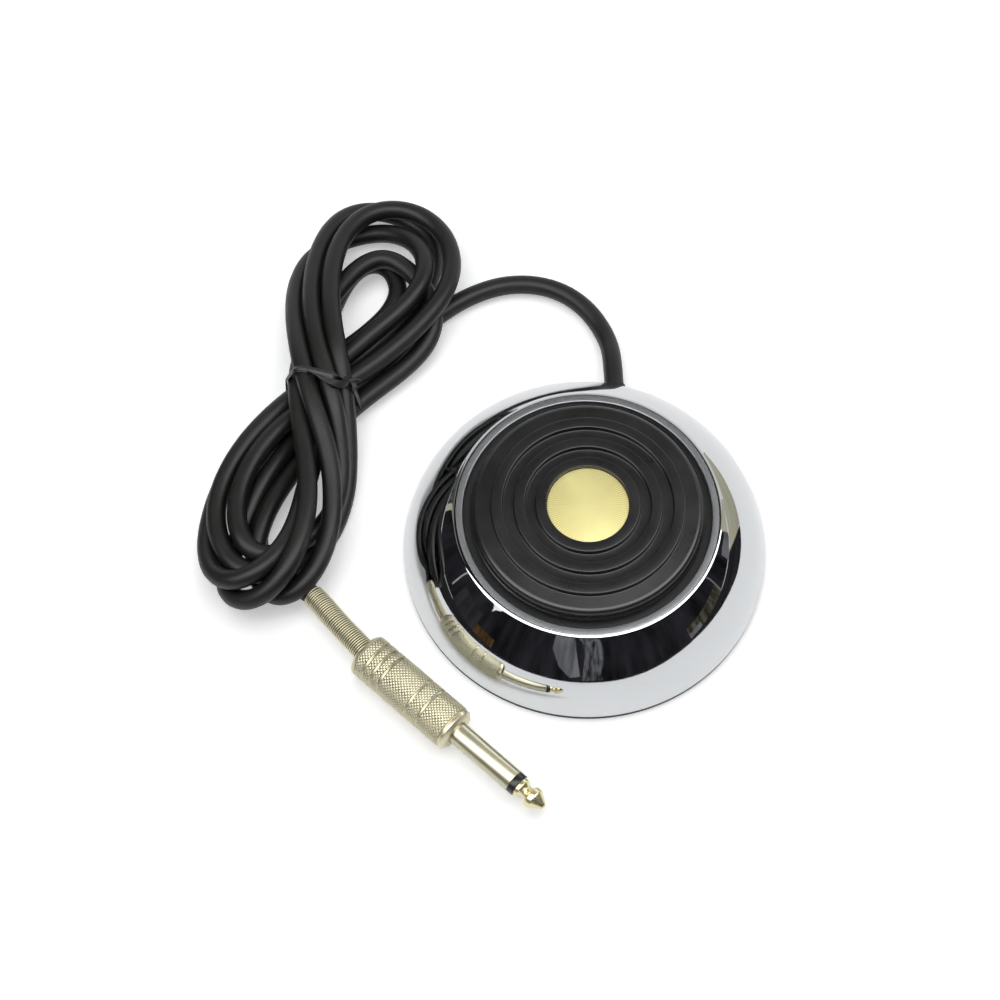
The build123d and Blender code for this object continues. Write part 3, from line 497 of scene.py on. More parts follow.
tread_profile = rounded_profile(
    [
        (0, 21.75, 0), (30.55, 21.75, 0.2), (30.65, 23.7, 0), (31.35, 24.0, 0.35), (31.42, 24.95, 0.4),
        (30.85, 25.35, 0.2), (30.85, 26.2, 0.3), (30.5, 28.1, 1.6), (25.8, 28.1, 0.25), (25.8, 29.6, 0.35),
        (22.7, 29.6, 0.35), (22.7, 28.1, 0.25), (19.75, 28.1, 0.25), (19.75, 29.6, 0.35), (16.75, 29.6, 0.35),
        (16.75, 28.1, 0.25), (13.95, 28.1, 0.25), (13.95, 29.6, 0.35), (11.0, 29.6, 0.3), (11.0, 28.1, 0.1),
        (0, 28.1, 0),
    ],
    5,
)
tread = turned("tread", tread_profile, tread_rubber, "pad", steps=224, sharp=60.0)
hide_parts("tread_pad")

badge = turned(
    "badge", rounded_profile([(0, 28.1, 0), (10.9, 28.1, 0), (10.9, 28.6, 0.12), (0, 28.6, 0)], 4), gold_foil, "pad",
    steps=160, sharp=50.0,
)
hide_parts("badge_disc")

# Cord

cord_route = [
    (9.2, 37, 7.4), (9.2, 53, 7.4), (8, 65.5, 2.8), (1.5, 76.5, 2.8), (-8.5, 83, 2.8), (-21, 84, 2.8),
    (-33, 79.5, 2.8), (-43.5, 71.5, 2.8), (-49.7, 65.0, 2.9), (-54.3, 59.9, 2.9), (-58.8, 55.3, 2.9),
    (-63.6, 50.7, 2.9), (-68.6, 46.0, 3.0), (-73.5, 40.7, 4.1), (-78.1, 34.6, 6.0), (-82.5, 27.7, 7.6),
    (-86.5, 21.2, 8.3), (-89.8, 15.1, 8.2), (-92.2, 9.2, 7.5), (-94.1, 3.6, 6.5), (-96.0, -1.9, 5.5),
    (-97.6, -7.0, 4.8), (-98.3, -11.8, 5.1), (-96.9, -16.0, 6.3), (-93.5, -19.0, 8.5),
    (-89.0, -19.7, 11.4), (-84.5, -17.9, 14.4), (-80.6, -13.9, 16.9), (-77.8, -8.4, 18.3),
    (-76.1, -2.0, 18.5), (-75.4, 5.0, 18.1), (-75.6, 12.0, 17.5), (-76.3, 18.8, 17.1),
    (-77.4, 25.3, 16.8), (-78.6, 31.7, 16.6), (-79.6, 38.4, 16.0), (-80.1, 45.3, 14.9),
    (-79.5, 52.5, 13.5), (-77.8, 59.7, 12.4), (-75.3, 66.6, 11.3), (-72.6, 73.1, 10.2),
    (-69.6, 78.9, 9.1), (-66.2, 84.0, 8.5), (-62.4, 87.6, 8.2), (-58.4, 89.2, 8.2), (-54.4, 88.4, 8.2),
    (-50.7, 85.8, 8.1), (-47.3, 82.1, 8.0), (-44.4, 77.5, 7.9), (-42.5, 72.3, 7.6), (-42.4, 67.2, 6.8),
    (-44.2, 62.1, 5.8), (-47.9, 57.4, 4.8), (-52.6, 53.0, 4.2), (-58.0, 48.5, 4.0), (-63.8, 43.3, 4.1),
    (-70.0, 36.8, 4.2), (-76.2, 29.0, 4.7), (-81.2, 21.0, 5.9), (-85.0, 13.4, 7.5), (-87.9, 6.2, 8.6),
    (-89.7, -0.5, 8.4), (-90.3, -6.7, 7.4), (-89.1, -12.0, 6.4), (-86.3, -15.7, 6.3),
    (-82.5, -17.4, 7.5), (-78.5, -16.5, 9.2), (-74.9, -13.3, 10.6), (-72.1, -8.5, 11.5),
    (-70.2, -3.0, 12.3), (-69.2, 2.7, 13.1), (-69.0, 8.4, 13.9), (-69.3, 14.0, 14.8),
    (-70.1, 19.5, 16.0), (-71.5, 25.0, 17.4), (-73.3, 30.4, 18.9), (-75.2, 36.1, 19.9),
    (-77.1, 42.3, 20.3), (-78.9, 49.0, 19.7), (-80.4, 56.6, 17.7), (-81.7, 65.0, 14.6),
    (-82.4, 74.1, 10.9), (-81.8, 83.1, 7.4), (-79.1, 90.9, 4.7), (-74.2, 96.2, 3.1), (-68.2, 99.3, 2.9),
    (-61.8, 100.5, 3.7), (-55.5, 99.6, 5.5), (-49.9, 96.0, 7.9), (-46.0, 90.2, 10.5),
    (-44.7, 83.7, 12.5), (-45.9, 77.6, 13.4), (-49.0, 72.3, 13.0), (-53.4, 67.7, 12.1),
    (-58.5, 63.5, 11.1), (-63.3, 59.3, 10.3), (-68.0, 54.9, 9.7), (-73.1, 50.2, 9.6),
    (-78.7, 44.9, 10.0), (-84.5, 39.2, 10.7), (-89.7, 33.4, 10.8), (-94.1, 27.6, 10.5),
    (-97.8, 21.1, 10.1), (-100.4, 14.2, 9.8), (-101.4, 7.3, 9.9), (-100.6, 0.7, 10.3),
    (-98.4, -5.2, 10.9), (-95.1, -9.6, 11.5), (-91.0, -12.1, 11.7), (-86.6, -12.6, 11.1),
    (-82.0, -11.1, 9.5), (-77.4, -7.6, 6.9), (-73.3, -2.6, 4.3), (-70.0, 3.3, 2.9), (-67.7, 9.6, 2.9),
    (-66.2, 16.3, 3.7), (-65.8, 23.0, 5.3), (-65.9, 29.7, 7.8), (-66.3, 36.1, 10.8), (-67.0, 42.3, 14.0),
    (-67.9, 48.5, 16.9), (-69.3, 55.3, 18.4), (-70.8, 63.7, 18.1), (-71.8, 73.7, 16.4),
    (-71.5, 84.2, 14.1), (-69.5, 93.6, 11.9), (-65.4, 101.0, 10.1), (-59.8, 105.2, 8.9),
    (-53.4, 106.2, 8.3), (-47.1, 104.4, 8.2), (-41.9, 100.0, 8.4), (-38.4, 93.8, 9.2),
    (-37.1, 86.7, 10.3), (-37.8, 79.5, 11.6), (-40.2, 73.0, 12.4), (-44.0, 67.3, 12.3),
    (-48.7, 62.0, 11.4), (-53.8, 57.6, 10.2), (-58.9, 53.6, 9.3), (-64.4, 49.6, 9.0), (-70.2, 45.2, 9.4),
    (-76.3, 40.2, 10.3), (-82.1, 34.6, 11.5), (-87.3, 28.4, 12.4), (-91.4, 21.6, 12.6),
    (-94.0, 15.0, 12.7), (-95.2, 8.6, 12.8), (-95.0, 2.4, 13.1), (-93.3, -2.9, 13.3),
    (-90.4, -6.3, 12.9), (-86.8, -7.1, 11.7), (-82.9, -5.7, 10.2), (-78.8, -3.1, 9.1), (-74.8, 0.1, 8.6),
    (-71.2, 4.2, 8.3), (-68.7, 9.3, 8.3), (-67.5, 15.3, 9.2), (-67.3, 21.3, 10.8), (-67.8, 26.9, 13.0),
    (-68.5, 32.2, 15.5), (-69.7, 37.4, 17.7), (-71.3, 42.9, 19.0), (-73.1, 49.0, 19.1),
    (-74.8, 55.8, 18.4), (-76.2, 63.2, 17.3), (-77.1, 70.8, 15.7), (-77.3, 78.6, 13.6),
    (-76.7, 86.3, 11.5), (-75.3, 93.7, 9.5), (-72.7, 100.2, 7.6), (-69.0, 105.2, 5.8),
    (-64.2, 108.0, 4.2), (-58.6, 108.5, 3.3), (-52.9, 106.9, 2.9), (-48.0, 103.8, 2.9),
    (-44.3, 99.4, 2.9), (-42.6, 93.7, 2.9), (-43.3, 86.8, 2.9), (-46.3, 79.2, 3.2), (-51.1, 71.6, 3.9),
    (-56.7, 64.9, 4.5), (-62.6, 59.2, 4.5), (-68.9, 54.2, 4.5), (-75.3, 49.2, 5.2), (-81.9, 43.6, 6.1),
    (-88.4, 37.3, 6.2), (-94.3, 30.3, 5.5), (-99.1, 22.0, 4.6), (-102.3, 13.0, 4.4), (-103.8, 4.2, 5.1),
    (-103.7, -3.7, 6.7), (-101.7, -10.2, 9.1), (-97.9, -14.4, 12.2), (-93.2, -15.7, 15.0),
    (-88.4, -14.0, 16.5), (-84.2, -9.9, 16.3), (-81.0, -4.6, 15.1), (-79.0, 1.0, 13.7),
    (-77.8, 6.8, 12.4), (-76.8, 12.7, 11.6), (-75.6, 18.6, 11.4), (-74.5, 24.5, 12.0),
    (-73.9, 30.2, 13.1), (-74.1, 35.9, 14.5), (-74.7, 42.0, 15.1), (-75.0, 48.9, 13.7),
    (-74.7, 56.7, 10.3), (-73.7, 65.1, 6.5), (-72.4, 73.4, 4.0), (-70.2, 80.7, 3.0), (-67.1, 86.5, 2.9),
    (-63.2, 90.1, 2.9), (-59.1, 90.7, 2.9), (-55.5, 88.4, 2.9), (-53.4, 84.2, 2.9), (-53.2, 79.3, 2.9),
    (-55.4, 74.1, 2.9), (-59.9, 68.7, 2.9), (-66.0, 63.2, 2.9), (-72.6, 57.7, 2.9), (-78.6, 51.9, 2.9),
    (-83.1, 45.4, 2.9), (-85.7, 37.7, 2.9), (-87.0, 29.2, 2.9), (-88.2, 20.6, 2.9), (-89.5, 12.2, 2.9),
    (-90.3, 4.5, 2.9), (-89.8, -2.3, 2.9), (-87.8, -7.8, 2.9), (-83.4, -11.9, 3.4), (-75.2, -14.2, 5),
    (-66.9, -25, 6.1), (-56.72, -35.604, 6.25),
]


def lay_cord():
    """The cord on one smooth line, from inside the housing to inside the plug."""
    curve = bpy.data.curves.new("cord", "CURVE")
    curve.dimensions = "3D"
    line = curve.splines.new("NURBS")
    line.points.add(len(cord_route) - 1)
    for point, (x, y, z) in zip(line.points, cord_route):
        point.co = (x * MM, y * MM, z * MM, 1)
    line.order_u = 3
    line.use_endpoint_u = True
    line.resolution_u = 6
    bare = bpy.data.objects.new("cord_line", curve)
    bpy.context.collection.objects.link(bare)
    path = [v.co.copy() for v in bpy.data.meshes.new_from_object(bare).vertices]
    curve.bevel_depth = CORD_RADIUS
    curve.bevel_resolution = 5
    curve.use_fill_caps = True
    curve.materials.append(cord_rubber)
    bare.name = "cord"
    return bare, path


cord, cord_path = lay_cord()
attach(cord, "base")
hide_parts("cord_lead", "cord_hank", "cord_tail")

# Plug

plug_start = Vector((-59.4 * MM, -33.2 * MM, 6.25 * MM))
plug_turn = radians(-41.9)
plug_place = Matrix.Translation(plug_start) @ Matrix.Rotation(plug_turn, 4, "Z") @ Matrix.Rotation(radians(90), 4, "Y")
knurled = make_knurl(plug_start, plug_turn)

barrel_corners = [(3.75, 3.2, 0), (3.75, 0.0, 0.15), (6.25, 0.0, 1.3)]
for middle in BARREL_GROOVES:
    barrel_corners += [
        (6.25, middle - 0.40, 0.04), (6.12, middle - 0.33, 0.04), (6.12, middle + 0.33, 0.04),
        (6.25, middle + 0.40, 0.04),
    ]
barrel_corners += [
    (6.25, 31.2, 0.15), (5.85, 31.3, 0.05), (5.85, 31.5, 0.05), (6.05, 31.6, 0.1), (6.05, 32.5, 0.12),
    (5.0, 33.4, 0.12), (3.3, 33.4, 0), (3.3, 31.3, 0), (5.05, 31.3, 0), (5.05, 3.2, 0),
]
barrel = turned(
    "plug_barrel_knurled", rounded_profile(barrel_corners, 3), knurled, "base", steps=128, place=plug_place,
    closed=True,
)
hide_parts("plug_barrel")

sleeve = turned(
    "plug_sleeve_turned",
    rounded_profile(
        [(1.9, 23.3, 0), (5.0, 23.3, 0), (5.0, 31.25, 0), (3.175, 31.25, 0), (3.175, 53.4, 0.12), (1.9, 53.4, 0)], 3
    ),
    plated_bright, "base", steps=128, place=plug_place, closed=True,
)
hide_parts("plug_sleeve")

collar = turned(
    "plug_insulator_ring",
    rounded_profile([(1.15, 53.4, 0), (3.12, 53.4, 0.1), (3.12, 55.3, 0.1), (1.15, 55.3, 0)], 3),
    black_plastic, "base", steps=96, place=plug_place, closed=True,
)
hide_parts("plug_insulator")

tip = turned(
    "plug_tip_turned",
    rounded_profile(
        [
            (0, 20.3, 0), (1.1, 20.3, 0.1), (1.1, 55.3, 0), (2.75, 55.3, 0.15), (2.75, 56.4, 0.3), (1.75, 57.5, 0.4),
            (1.75, 58.3, 0.4), (2.95, 59.2, 0.5), (2.95, 60.7, 0.9), (0.8, 63.7, 0.5), (0, 64.0, 0),
        ],
        6,
    ),
    plated_gold, "base", steps=96, place=plug_place, sharp=80.0,
)
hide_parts("plug_tip")


def wind_spring():
    """Coil spring wound close on the cord, along its last stretch up to and into the barrel."""
    reach, wound, bare_end, per_turn = 0.0285, 0.0262, 0.0012, 16
    pitch, wire, radius = 0.00066, 0.00023, 0.00306
    places, run = [cord_path[-1]], 0.0
    for point in reversed(cord_path[:-1]):
        run += (point - places[-1]).length
        places.append(point)
        if run > reach:
            break
    places.reverse()
    lengths = [0.0]
    for a, b in zip(places, places[1:]):
        lengths.append(lengths[-1] + (b - a).length)
    start, end = lengths[-1] - wound, lengths[-1] - bare_end
    curve = bpy.data.curves.new("plug_spring_coil", "CURVE")
    curve.dimensions = "3D"
    line = curve.splines.new("NURBS")
    count = int((end - start) / pitch * per_turn)
    line.points.add(count)
    for index in range(count + 1):
        along = start + (end - start) * index / count
        place = max(i for i, value in enumerate(lengths) if value <= along)
        place = min(place, len(places) - 2)
        share = (along - lengths[place]) / (lengths[place + 1] - lengths[place])
        middle = places[place].lerp(places[place + 1], share)
        ahead = (places[min(place + 2, len(places) - 1)] - places[max(place - 1, 0)]).normalized()
        side = ahead.cross(Vector((0, 0, 1))).normalized()
        up = side.cross(ahead)
        angle = 2 * pi * index / per_turn
        offset = (side * cos(angle) + up * sin(angle)) * radius
        line.points[index].co = (*(middle + offset), 1)
    line.order_u = 4
    line.use_endpoint_u = True
    line.resolution_u = 2
    curve.bevel_depth = wire
    curve.bevel_resolution = 3
    curve.use_fill_caps = True
    curve.materials.append(spring_plate)
    piece = bpy.data.objects.new("plug_spring_coil", curve)
    bpy.context.collection.objects.link(piece)
    return piece


def wind_return_spring():
    """Compression spring between the base plate and the pressure disc, of 5.5 turns."""
    low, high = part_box("return_spring")
    wire, radius, turns, per_turn, sides = 0.0006, 0.0086, 5.5, 40, 10
    count = int(turns * per_turn)
    climb = high[2] - low[2] - 2 * wire
    upright = Matrix.Rotation(radians(90), 4, "X") @ Matrix.Rotation(radians(-90), 4, "Z")
    shape = bmesh.new()
    section = bmesh.ops.create_circle(
        shape, segments=sides, radius=wire, matrix=Matrix.Translation((radius, 0, low[2] + wire)) @ upright
    )["verts"]
    bmesh.ops.spin(
        shape, geom=section + shape.edges[:], cent=(0, 0, 0), axis=(0, 0, 1), dvec=(0, 0, climb / count),
        angle=2 * pi * turns, steps=count,
    )
    bmesh.ops.holes_fill(shape, edges=[edge for edge in shape.edges if edge.is_boundary])
    bmesh.ops.recalc_face_normals(shape, faces=shape.faces[:])
    mesh = bpy.data.meshes.new("spring_coil_return")
    shape.to_mesh(mesh)
    shape.free()
    mesh.shade_smooth()
    mesh.materials.append(spring_plate)
    piece = bpy.data.objects.new("spring_coil_return", mesh)
    bpy.context.collection.objects.link(piece)
    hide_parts("return_spring")
    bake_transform(piece)


wind_return_spring()

coil = wind_spring()
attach(coil, "base")
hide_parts("plug_spring")

# Twist tie


def bind_tie():
    """Flat strip with a wire ridge, drawn close round the strands at the waist of the hank."""
    slant = radians(8)
    middle = Vector((-72.5, 43.4, 0)) * MM
    along, across = Vector((cos(slant), -sin(slant), 0)), Vector((sin(slant), cos(slant), 0))
    near = [p for p in cord_path if abs((p - middle).dot(across)) < 0.0015]
    strands = [p for p in near if -0.0088 < (p - middle).dot(along) < 0.0072]
    centre = sum(strands, Vector()) / len(strands)
    shape = bmesh.new()
    points = []
    for step in range(TIE_STEPS):
        angle = 2 * pi * step / TIE_STEPS
        aim = along * cos(angle) + Vector((0, 0, sin(angle)))
        place = max(strands, key=lambda p: p.dot(aim)) + aim * TIE_REACH * MM
        place -= across * ((place - middle).dot(across) + 1.1 * MM)
        place.z = max(place.z, 0.3 * MM)
        points.append(shape.verts.new(place))
    grown = [shape.edges.new((a, b)) for a, b in zip(points, points[1:] + points[:1])]
    for shift, lift in ((0.85, 0.0), (0.25, 0.30), (0.25, -0.30), (0.85, 0.0)):
        made = bmesh.ops.extrude_edge_only(shape, edges=grown)["geom"]
        for vert in (v for v in made if isinstance(v, bmesh.types.BMVert)):
            out = vert.co - centre
            out -= across * out.dot(across)
            vert.co += across * shift * MM + out.normalized() * lift * MM
        grown = [e for e in made if isinstance(e, bmesh.types.BMEdge)]
    piece = shown("tie_strip", shape, tie_plastic, "base", 60.0)
    thick = piece.modifiers.new("thickness", "SOLIDIFY")
    thick.thickness = 0.3 * MM
    thick.offset = 1.0
    smooth = piece.modifiers.new("smooth", "SUBSURF")
    smooth.levels = smooth.render_levels = 2
    return piece


tie = bind_tie()
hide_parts("twist_tie")


def tie_tail(name, points, tilt):
    """A free end of the strip: a flat ribbon that follows the given points and twists."""
    curve = bpy.data.curves.new(name, "CURVE")
    curve.dimensions = "3D"
    line = curve.splines.new("NURBS")
    line.points.add(len(points) - 1)
    for index, (point, (x, y, z)) in enumerate(zip(line.points, points)):
        point.co = (x * MM, y * MM, z * MM, 1)
        point.tilt = radians(tilt * index / (len(points) - 1))
    line.order_u = 3
    line.use_endpoint_u = True
    line.resolution_u = 8
    curve.extrude = 0.85 * MM
    curve.bevel_depth = 0.22 * MM
    curve.bevel_resolution = 2
    curve.materials.append(tie_plastic)
    piece = bpy.data.objects.new(name, curve)
    bpy.context.collection.objects.link(piece)
    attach(piece, "base")
    return piece


tail_up = tie_tail(
    "tie_end_up",
    [
        (-76.5, 43.2, 23.3), (-73.9, 42.2, 23.5), (-72.4, 41.3, 23.4), (-70.2, 40.4, 22.9), (-68.1, 40.4, 21.2),
        (-66.3, 41.2, 19.7), (-65.0, 42.6, 19.1), (-63.7, 43.8, 17.9), (-62.8, 44.4, 16.4),
    ],
    200,
)
tail_down = tie_tail(
    "tie_end_down",
    [(-68.4, 42.6, 21.6), (-66.6, 42.3, 20.6), (-65.2, 43.0, 19.4), (-64.3, 42.8, 17.8), (-63.9, 42.0, 15.8)], 120,
)

# Carried-over pieces

worn_by = {
    "base_plate": zinc_steel, "base_screws": screw_steel, "guide_bush": pale_nylon, "contact_board": board_laminate,
    "fixed_contact_left": brass, "fixed_contact_right": brass, "contact_rivets": brass, "board_rivets": screw_steel,
    "terminal_screws": brass, "cord_clip": zinc_steel, "cord_clip_screw": screw_steel, "lead_left": black_core,
    # The pad plate's nearly black colour is painted shade for the gap between the tread and the land.
    "lead_right": red_core, "pad_plate": gap_shade_steel, "guide_stem": screw_steel, "contact_holder": dark_nylon,
    "holder_screws": screw_steel, "bridge_ring": brass, "plug_liner": pale_nylon,
    "plug_lug": brass, "plug_lead_tip": red_core, "plug_lead_sleeve": black_core,
}
for name, material in worn_by.items():
    slots = nodes[name].material_slots
    if slots:
        slots[0].material = material
    else:
        nodes[name].data.materials.append(material)

# Studio


def plain_surface(name, color, glow, mirrored_glow):
    """Matt studio surface; it glows a little for the camera and for reflections only."""
    material = bpy.data.materials.new(name)
    material.use_nodes = True
    tree = material.node_tree
    shader = tree.nodes["Principled BSDF"]
    shader.inputs["Base Color"].default_value = (*color, 1)
    shader.inputs["Roughness"].default_value = 1.0
    shader.inputs["Specular IOR Level"].default_value = 0.0
    paths = node(tree, "ShaderNodeLightPath")
    mirrored = math_node(tree, "MAXIMUM", paths.outputs["Is Glossy Ray"], paths.outputs["Is Transmission Ray"])
    direct = math_node(tree, "MULTIPLY", paths.outputs["Is Camera Ray"], glow)
    strength = math_node(tree, "ADD", direct, math_node(tree, "MULTIPLY", mirrored, mirrored_glow))
    shader.inputs["Emission Color"].default_value = (1, 1, 1, 1)
    tree.links.new(strength, shader.inputs["Emission Strength"])
    return material


def studio_piece(name, shape, material, only_mirrored=True):
    """Links a studio surface; cards that are only mirrored in the metal show to nothing else."""
    mesh = bpy.data.meshes.new(name)
    shape.to_mesh(mesh)
    shape.free()
    mesh.materials.append(material)
    piece = bpy.data.objects.new(name, mesh)
    bpy.context.collection.objects.link(piece)
    if only_mirrored:
        for ray in ("camera", "diffuse", "transmission", "volume_scatter", "shadow"):
            setattr(piece, "visible_" + ray, False)
    return piece


def lay_floor():
    """The plain pale floor."""
    shape = bmesh.new()
    bmesh.ops.create_grid(shape, x_segments=1, y_segments=1, size=6.0)
    bmesh.ops.translate(shape, verts=shape.verts, vec=(0, 0, -0.0002))
    return studio_piece("studio_floor", shape, plain_surface("floor_white", (0.88, 0.88, 0.885), 0.38, 0.26), False)


def card_cloth(name, color, strength, streaks, scale=2.0):
    """Evenly lit cloth of a card, with soft upright folds."""
    material = bpy.data.materials.new(name)
    material.use_nodes = True
    tree = material.node_tree
    tree.nodes.remove(tree.nodes["Principled BSDF"])
    glow = node(tree, "ShaderNodeEmission")
    glow.inputs[1].default_value = strength
    place = node(tree, "ShaderNodeTexCoord")
    turn = node(tree, "ShaderNodeMapping", in_Scale=(scale, scale, scale * 0.15))
    tree.links.new(place.outputs["Object"], turn.inputs[0])
    folds = node(tree, "ShaderNodeTexNoise", in_Scale=1.0, in_Detail=5.0, in_Roughness=0.6)
    tree.links.new(turn.outputs[0], folds.inputs["Vector"])
    tone = spread(tree, folds.outputs[0], 0.35, 0.65, 1.0 - streaks, 1.0 + streaks)
    mix = node(tree, "ShaderNodeMix", data_type="RGBA", blend_type="MULTIPLY")
    mix.inputs[0].default_value = 1.0
    mix.inputs[6].default_value = (*color, 1)
    tree.links.new(tone, mix.inputs[7])
    tree.links.new(mix.outputs[2], glow.inputs[0])
    tree.links.new(glow.outputs[0], tree.nodes["Material Output"].inputs[0])
    return material


def hang_card(name, around, low, high, material, away):
    """A card that hangs upright round the table, between two bearings and two heights in degrees."""
    shape = bmesh.new()
    start, end = map(radians, around)
    feet = away * tan(radians(low)), away * tan(radians(high))
    points = [shape.verts.new((away * cos(start), away * sin(start), z)) for z in feet]
    edge = shape.edges.new(points)
    steps = max(2, int((end - start) / radians(4)))
    bmesh.ops.spin(shape, geom=points + [edge], cent=(0, 0, 0), axis=(0, 0, 1), angle=end - start, steps=steps)
    return studio_piece(name, shape, material)


def hang_shape(name, outline, material, away):
    """An upright card cut to an outline of (bearing, height) in degrees."""
    shape = bmesh.new()
    points = []
    for bearing, high in outline:
        bearing, high = radians(bearing), radians(high)
        points.append(shape.verts.new((away * cos(bearing), away * sin(bearing), away * tan(high))))
    bmesh.ops.contextual_create(shape, geom=points)
    bmesh.ops.triangulate(shape, faces=shape.faces)
    return studio_piece(name, shape, material)


def dark_room():
    """Dark room round the table and above it."""
    shape = bmesh.new()
    corners = [(2.2, -0.01), (2.2, 2.2), (1.2, 3.2), (0.001, 3.4)]
    points = [shape.verts.new((x, 0, z)) for x, z in corners]
    edges = [shape.edges.new(pair) for pair in zip(points, points[1:])]
    bmesh.ops.spin(shape, geom=points + edges, cent=(0, 0, 0), axis=(0, 0, 1), angle=2 * pi, steps=48, use_merge=True)
    return studio_piece("dark_room", shape, card_cloth("room_cloth", (0.016, 0.015, 0.018), 1.0, 0.7, 3.0))


def flat_card(name, outline, height, material):
    """A level card or cloth, cut to an outline seen from above."""
    shape = bmesh.new()
    bmesh.ops.contextual_create(shape, geom=[shape.verts.new((x, y, height)) for x, y in outline])
    return studio_piece(name, shape, material)


def dark_table():
    """Dark table top round the white sheet that the object lies on."""
    shape = bmesh.new()
    sheet = [
        (0.1145, 0.0306), (0.118, 0.020), (0.133, -0.008), (0.167, -0.038), (0.219, -0.093),
        (0.315, -0.210), (0.335, -0.350), (0.235, -0.411), (0.158, -0.545), (0.043, -0.90), (-0.270, -0.70),
        (-0.250, -0.300), (-0.216, -0.171), (-0.165, -0.060), (-0.140, 0.0), (-0.128, 0.045), (-0.124, 0.085),
    ]
    points = [shape.verts.new((x, y, -0.0001)) for x, y in sheet]
    edges = [shape.edges.new(pair) for pair in zip(points, points[1:])]
    made = bmesh.ops.extrude_edge_only(shape, edges=edges)["geom"]
    outer = [v for v in made if isinstance(v, bmesh.types.BMVert)]
    bmesh.ops.scale(shape, vec=(9, 9, 1), verts=outer)
    outer[0].co = (0.9, 0.13, outer[0].co.z)
    return studio_piece("dark_table", shape, card_cloth("table_cloth", (0.020, 0.019, 0.021), 1.0, 0.5, 9.0))


lay_floor()
dark_room()
dark_table()

pale_wall = card_cloth("pale_wall", (0.93, 0.93, 0.95), 0.86, 0.05)
cream_wall = card_cloth("cream_wall", (0.56, 0.54, 0.42), 0.9, 0.12)
shade_wall = card_cloth("shade_wall", (0.12, 0.12, 0.125), 0.8, 0.6, 9.0)
olive_wall = card_cloth("olive_wall", (0.30, 0.295, 0.25), 0.8, 0.25)
grey_cloth = card_cloth("grey_cloth", (0.20, 0.20, 0.215), 0.8, 0.35, 12.0)
folded_cloth = card_cloth("folded_cloth", (0.13, 0.13, 0.14), 0.8, 0.95, 26.0)
dim_cloth = card_cloth("dim_cloth", (0.036, 0.036, 0.040), 0.8, 0.3, 14.0)
brown_cloth = card_cloth("brown_cloth", (0.085, 0.08, 0.06), 0.8, 0.8, 22.0)
amber_cloth = card_cloth("amber_cloth", (0.085, 0.05, 0.02), 0.8, 0.8, 16.0)
bright_cloth = card_cloth("bright_cloth", (1.0, 1.0, 1.0), 1.1, 0.2, 8.0)
white_edge = card_cloth("white_edge", (1.0, 1.0, 1.0), 0.34, 0.5)

hang_card("wall_behind", (30, 131), -1, 40, pale_wall, 1.9)
hang_card("grey_wall_left", (131, 151), -1, 40, shade_wall, 1.9)
hang_card("cream_edge_left", (151, 154), 0, 40, cream_wall, 1.9)
hang_card("wall_right", (16, 30), -4, 44, cream_wall, 1.85)
hang_card("wall_high", (10, 170), 40, 68, olive_wall, 1.9)
hang_shape(
    "grey_panel_front", [(-108, 37), (-97, 37), (-95, 22), (-92, 4), (-97, 2.5), (-103, 9), (-108, 20)], grey_cloth, 1.2
)
hang_shape("folded_panel_front", [(-95, 37), (-82, 37), (-80, 20), (-81, 1), (-91, 1), (-90, 20)], folded_cloth, 1.2)
hang_card("pale_edge_left", (-173, -172.2), 4, 24, white_edge, 1.3)
hang_shape("bright_card_left", [(-154, 34), (-142, 34), (-144, 26), (-147.5, 19), (-149, 25)], bright_cloth, 1.25)
hang_card("dim_panel_left", (-167, -150), -4, 13, dim_cloth, 1.35)
hang_card("amber_panel_left", (-150, -138), -2, 6, amber_cloth, 1.34)
hang_card("brown_panel_right", (-34, -8), -4, 7, brown_cloth, 1.3)
hang_card("grey_panel_low_right", (-34, -26), -3, 3, grey_cloth, 1.25)
hang_card("pale_edge_right", (-8.6, -8), -6, 36, white_edge, 1.2)
hang_card("amber_panel_right", (-4, 2), -8, -2, amber_cloth, 1.15)
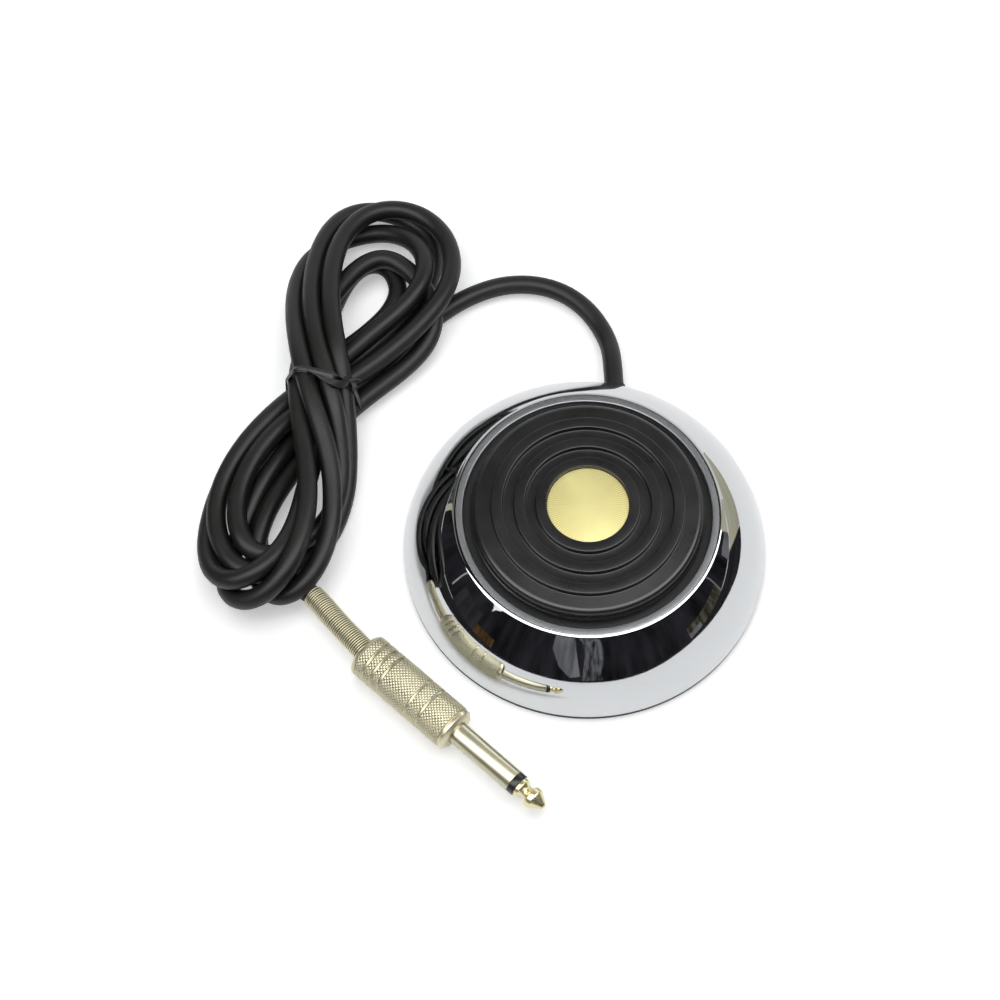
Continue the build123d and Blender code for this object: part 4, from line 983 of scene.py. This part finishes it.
hang_card("grey_panel_right", (5, 16), -9, 6, grey_cloth, 1.2)

flat_card(
    "cream_panel_low",
    [(0.114, 0.0312), (0.1075, 0.051), (0.102, 0.075), (0.100, 0.100), (0.30, 0.32), (0.85, 0.75), (0.9, 0.132)],
    -0.00005,
    card_cloth("cream_cloth", (0.55, 0.53, 0.40), 0.9, 0.2, 4.0),
)

flat_card(
    "ceiling_light",
    [
        (-3.2, -0.9), (-0.9, -0.9), (0.0, -0.72), (0.8, -0.6), (1.55, 0.0), (2.0, 0.72), (0.95, 0.5), (0.25, 0.2),
        (-0.2, 0.09), (-1.2, -0.04), (-3.2, -0.15),
    ],
    1.15, card_cloth("ceiling_cloth", (1.0, 1.0, 1.0), 3.6, 0.05),
)


def studio_lamp(name, place, aim, size, power):
    """A soft lamp that isn't mirrored in the metal."""
    lamp = bpy.data.lights.new(name, "AREA")
    lamp.shape = "RECTANGLE"
    lamp.size, lamp.size_y = size
    lamp.energy = power
    holder = bpy.data.objects.new(name, lamp)
    holder.location = place
    holder.rotation_euler = (Vector(aim) - Vector(place)).to_track_quat("-Z", "Y").to_euler()
    holder.visible_glossy = False
    bpy.context.collection.objects.link(holder)


studio_lamp("overhead_light", (-0.10, 0.10, 1.5), (0, 0, 0), (1.6, 0.9), 14.0)

world = bpy.data.worlds.new("studio_air")
world.use_nodes = True
world.node_tree.nodes["Background"].inputs[0].default_value = (0.97, 0.98, 1.0, 1)
world.node_tree.nodes["Background"].inputs[1].default_value = 0.35
bpy.context.scene.world = world
bpy.context.scene.view_settings.view_transform = "Standard"

camera_data = bpy.data.cameras.new("camera")
camera_data.lens = 73.73
camera_data.sensor_width = 36.0
camera_data.clip_start = 0.01
camera = bpy.data.objects.new("camera", camera_data)
camera.location = (-0.02331, -0.23006, 0.51961)
camera_aim = Vector((-0.02331, 0.015, 0.0))
camera.rotation_euler = (camera_aim - camera.location).to_track_quat("-Z", "Y").to_euler()
bpy.context.collection.objects.link(camera)
bpy.context.scene.camera = camera

bpy.context.view_layer.update()
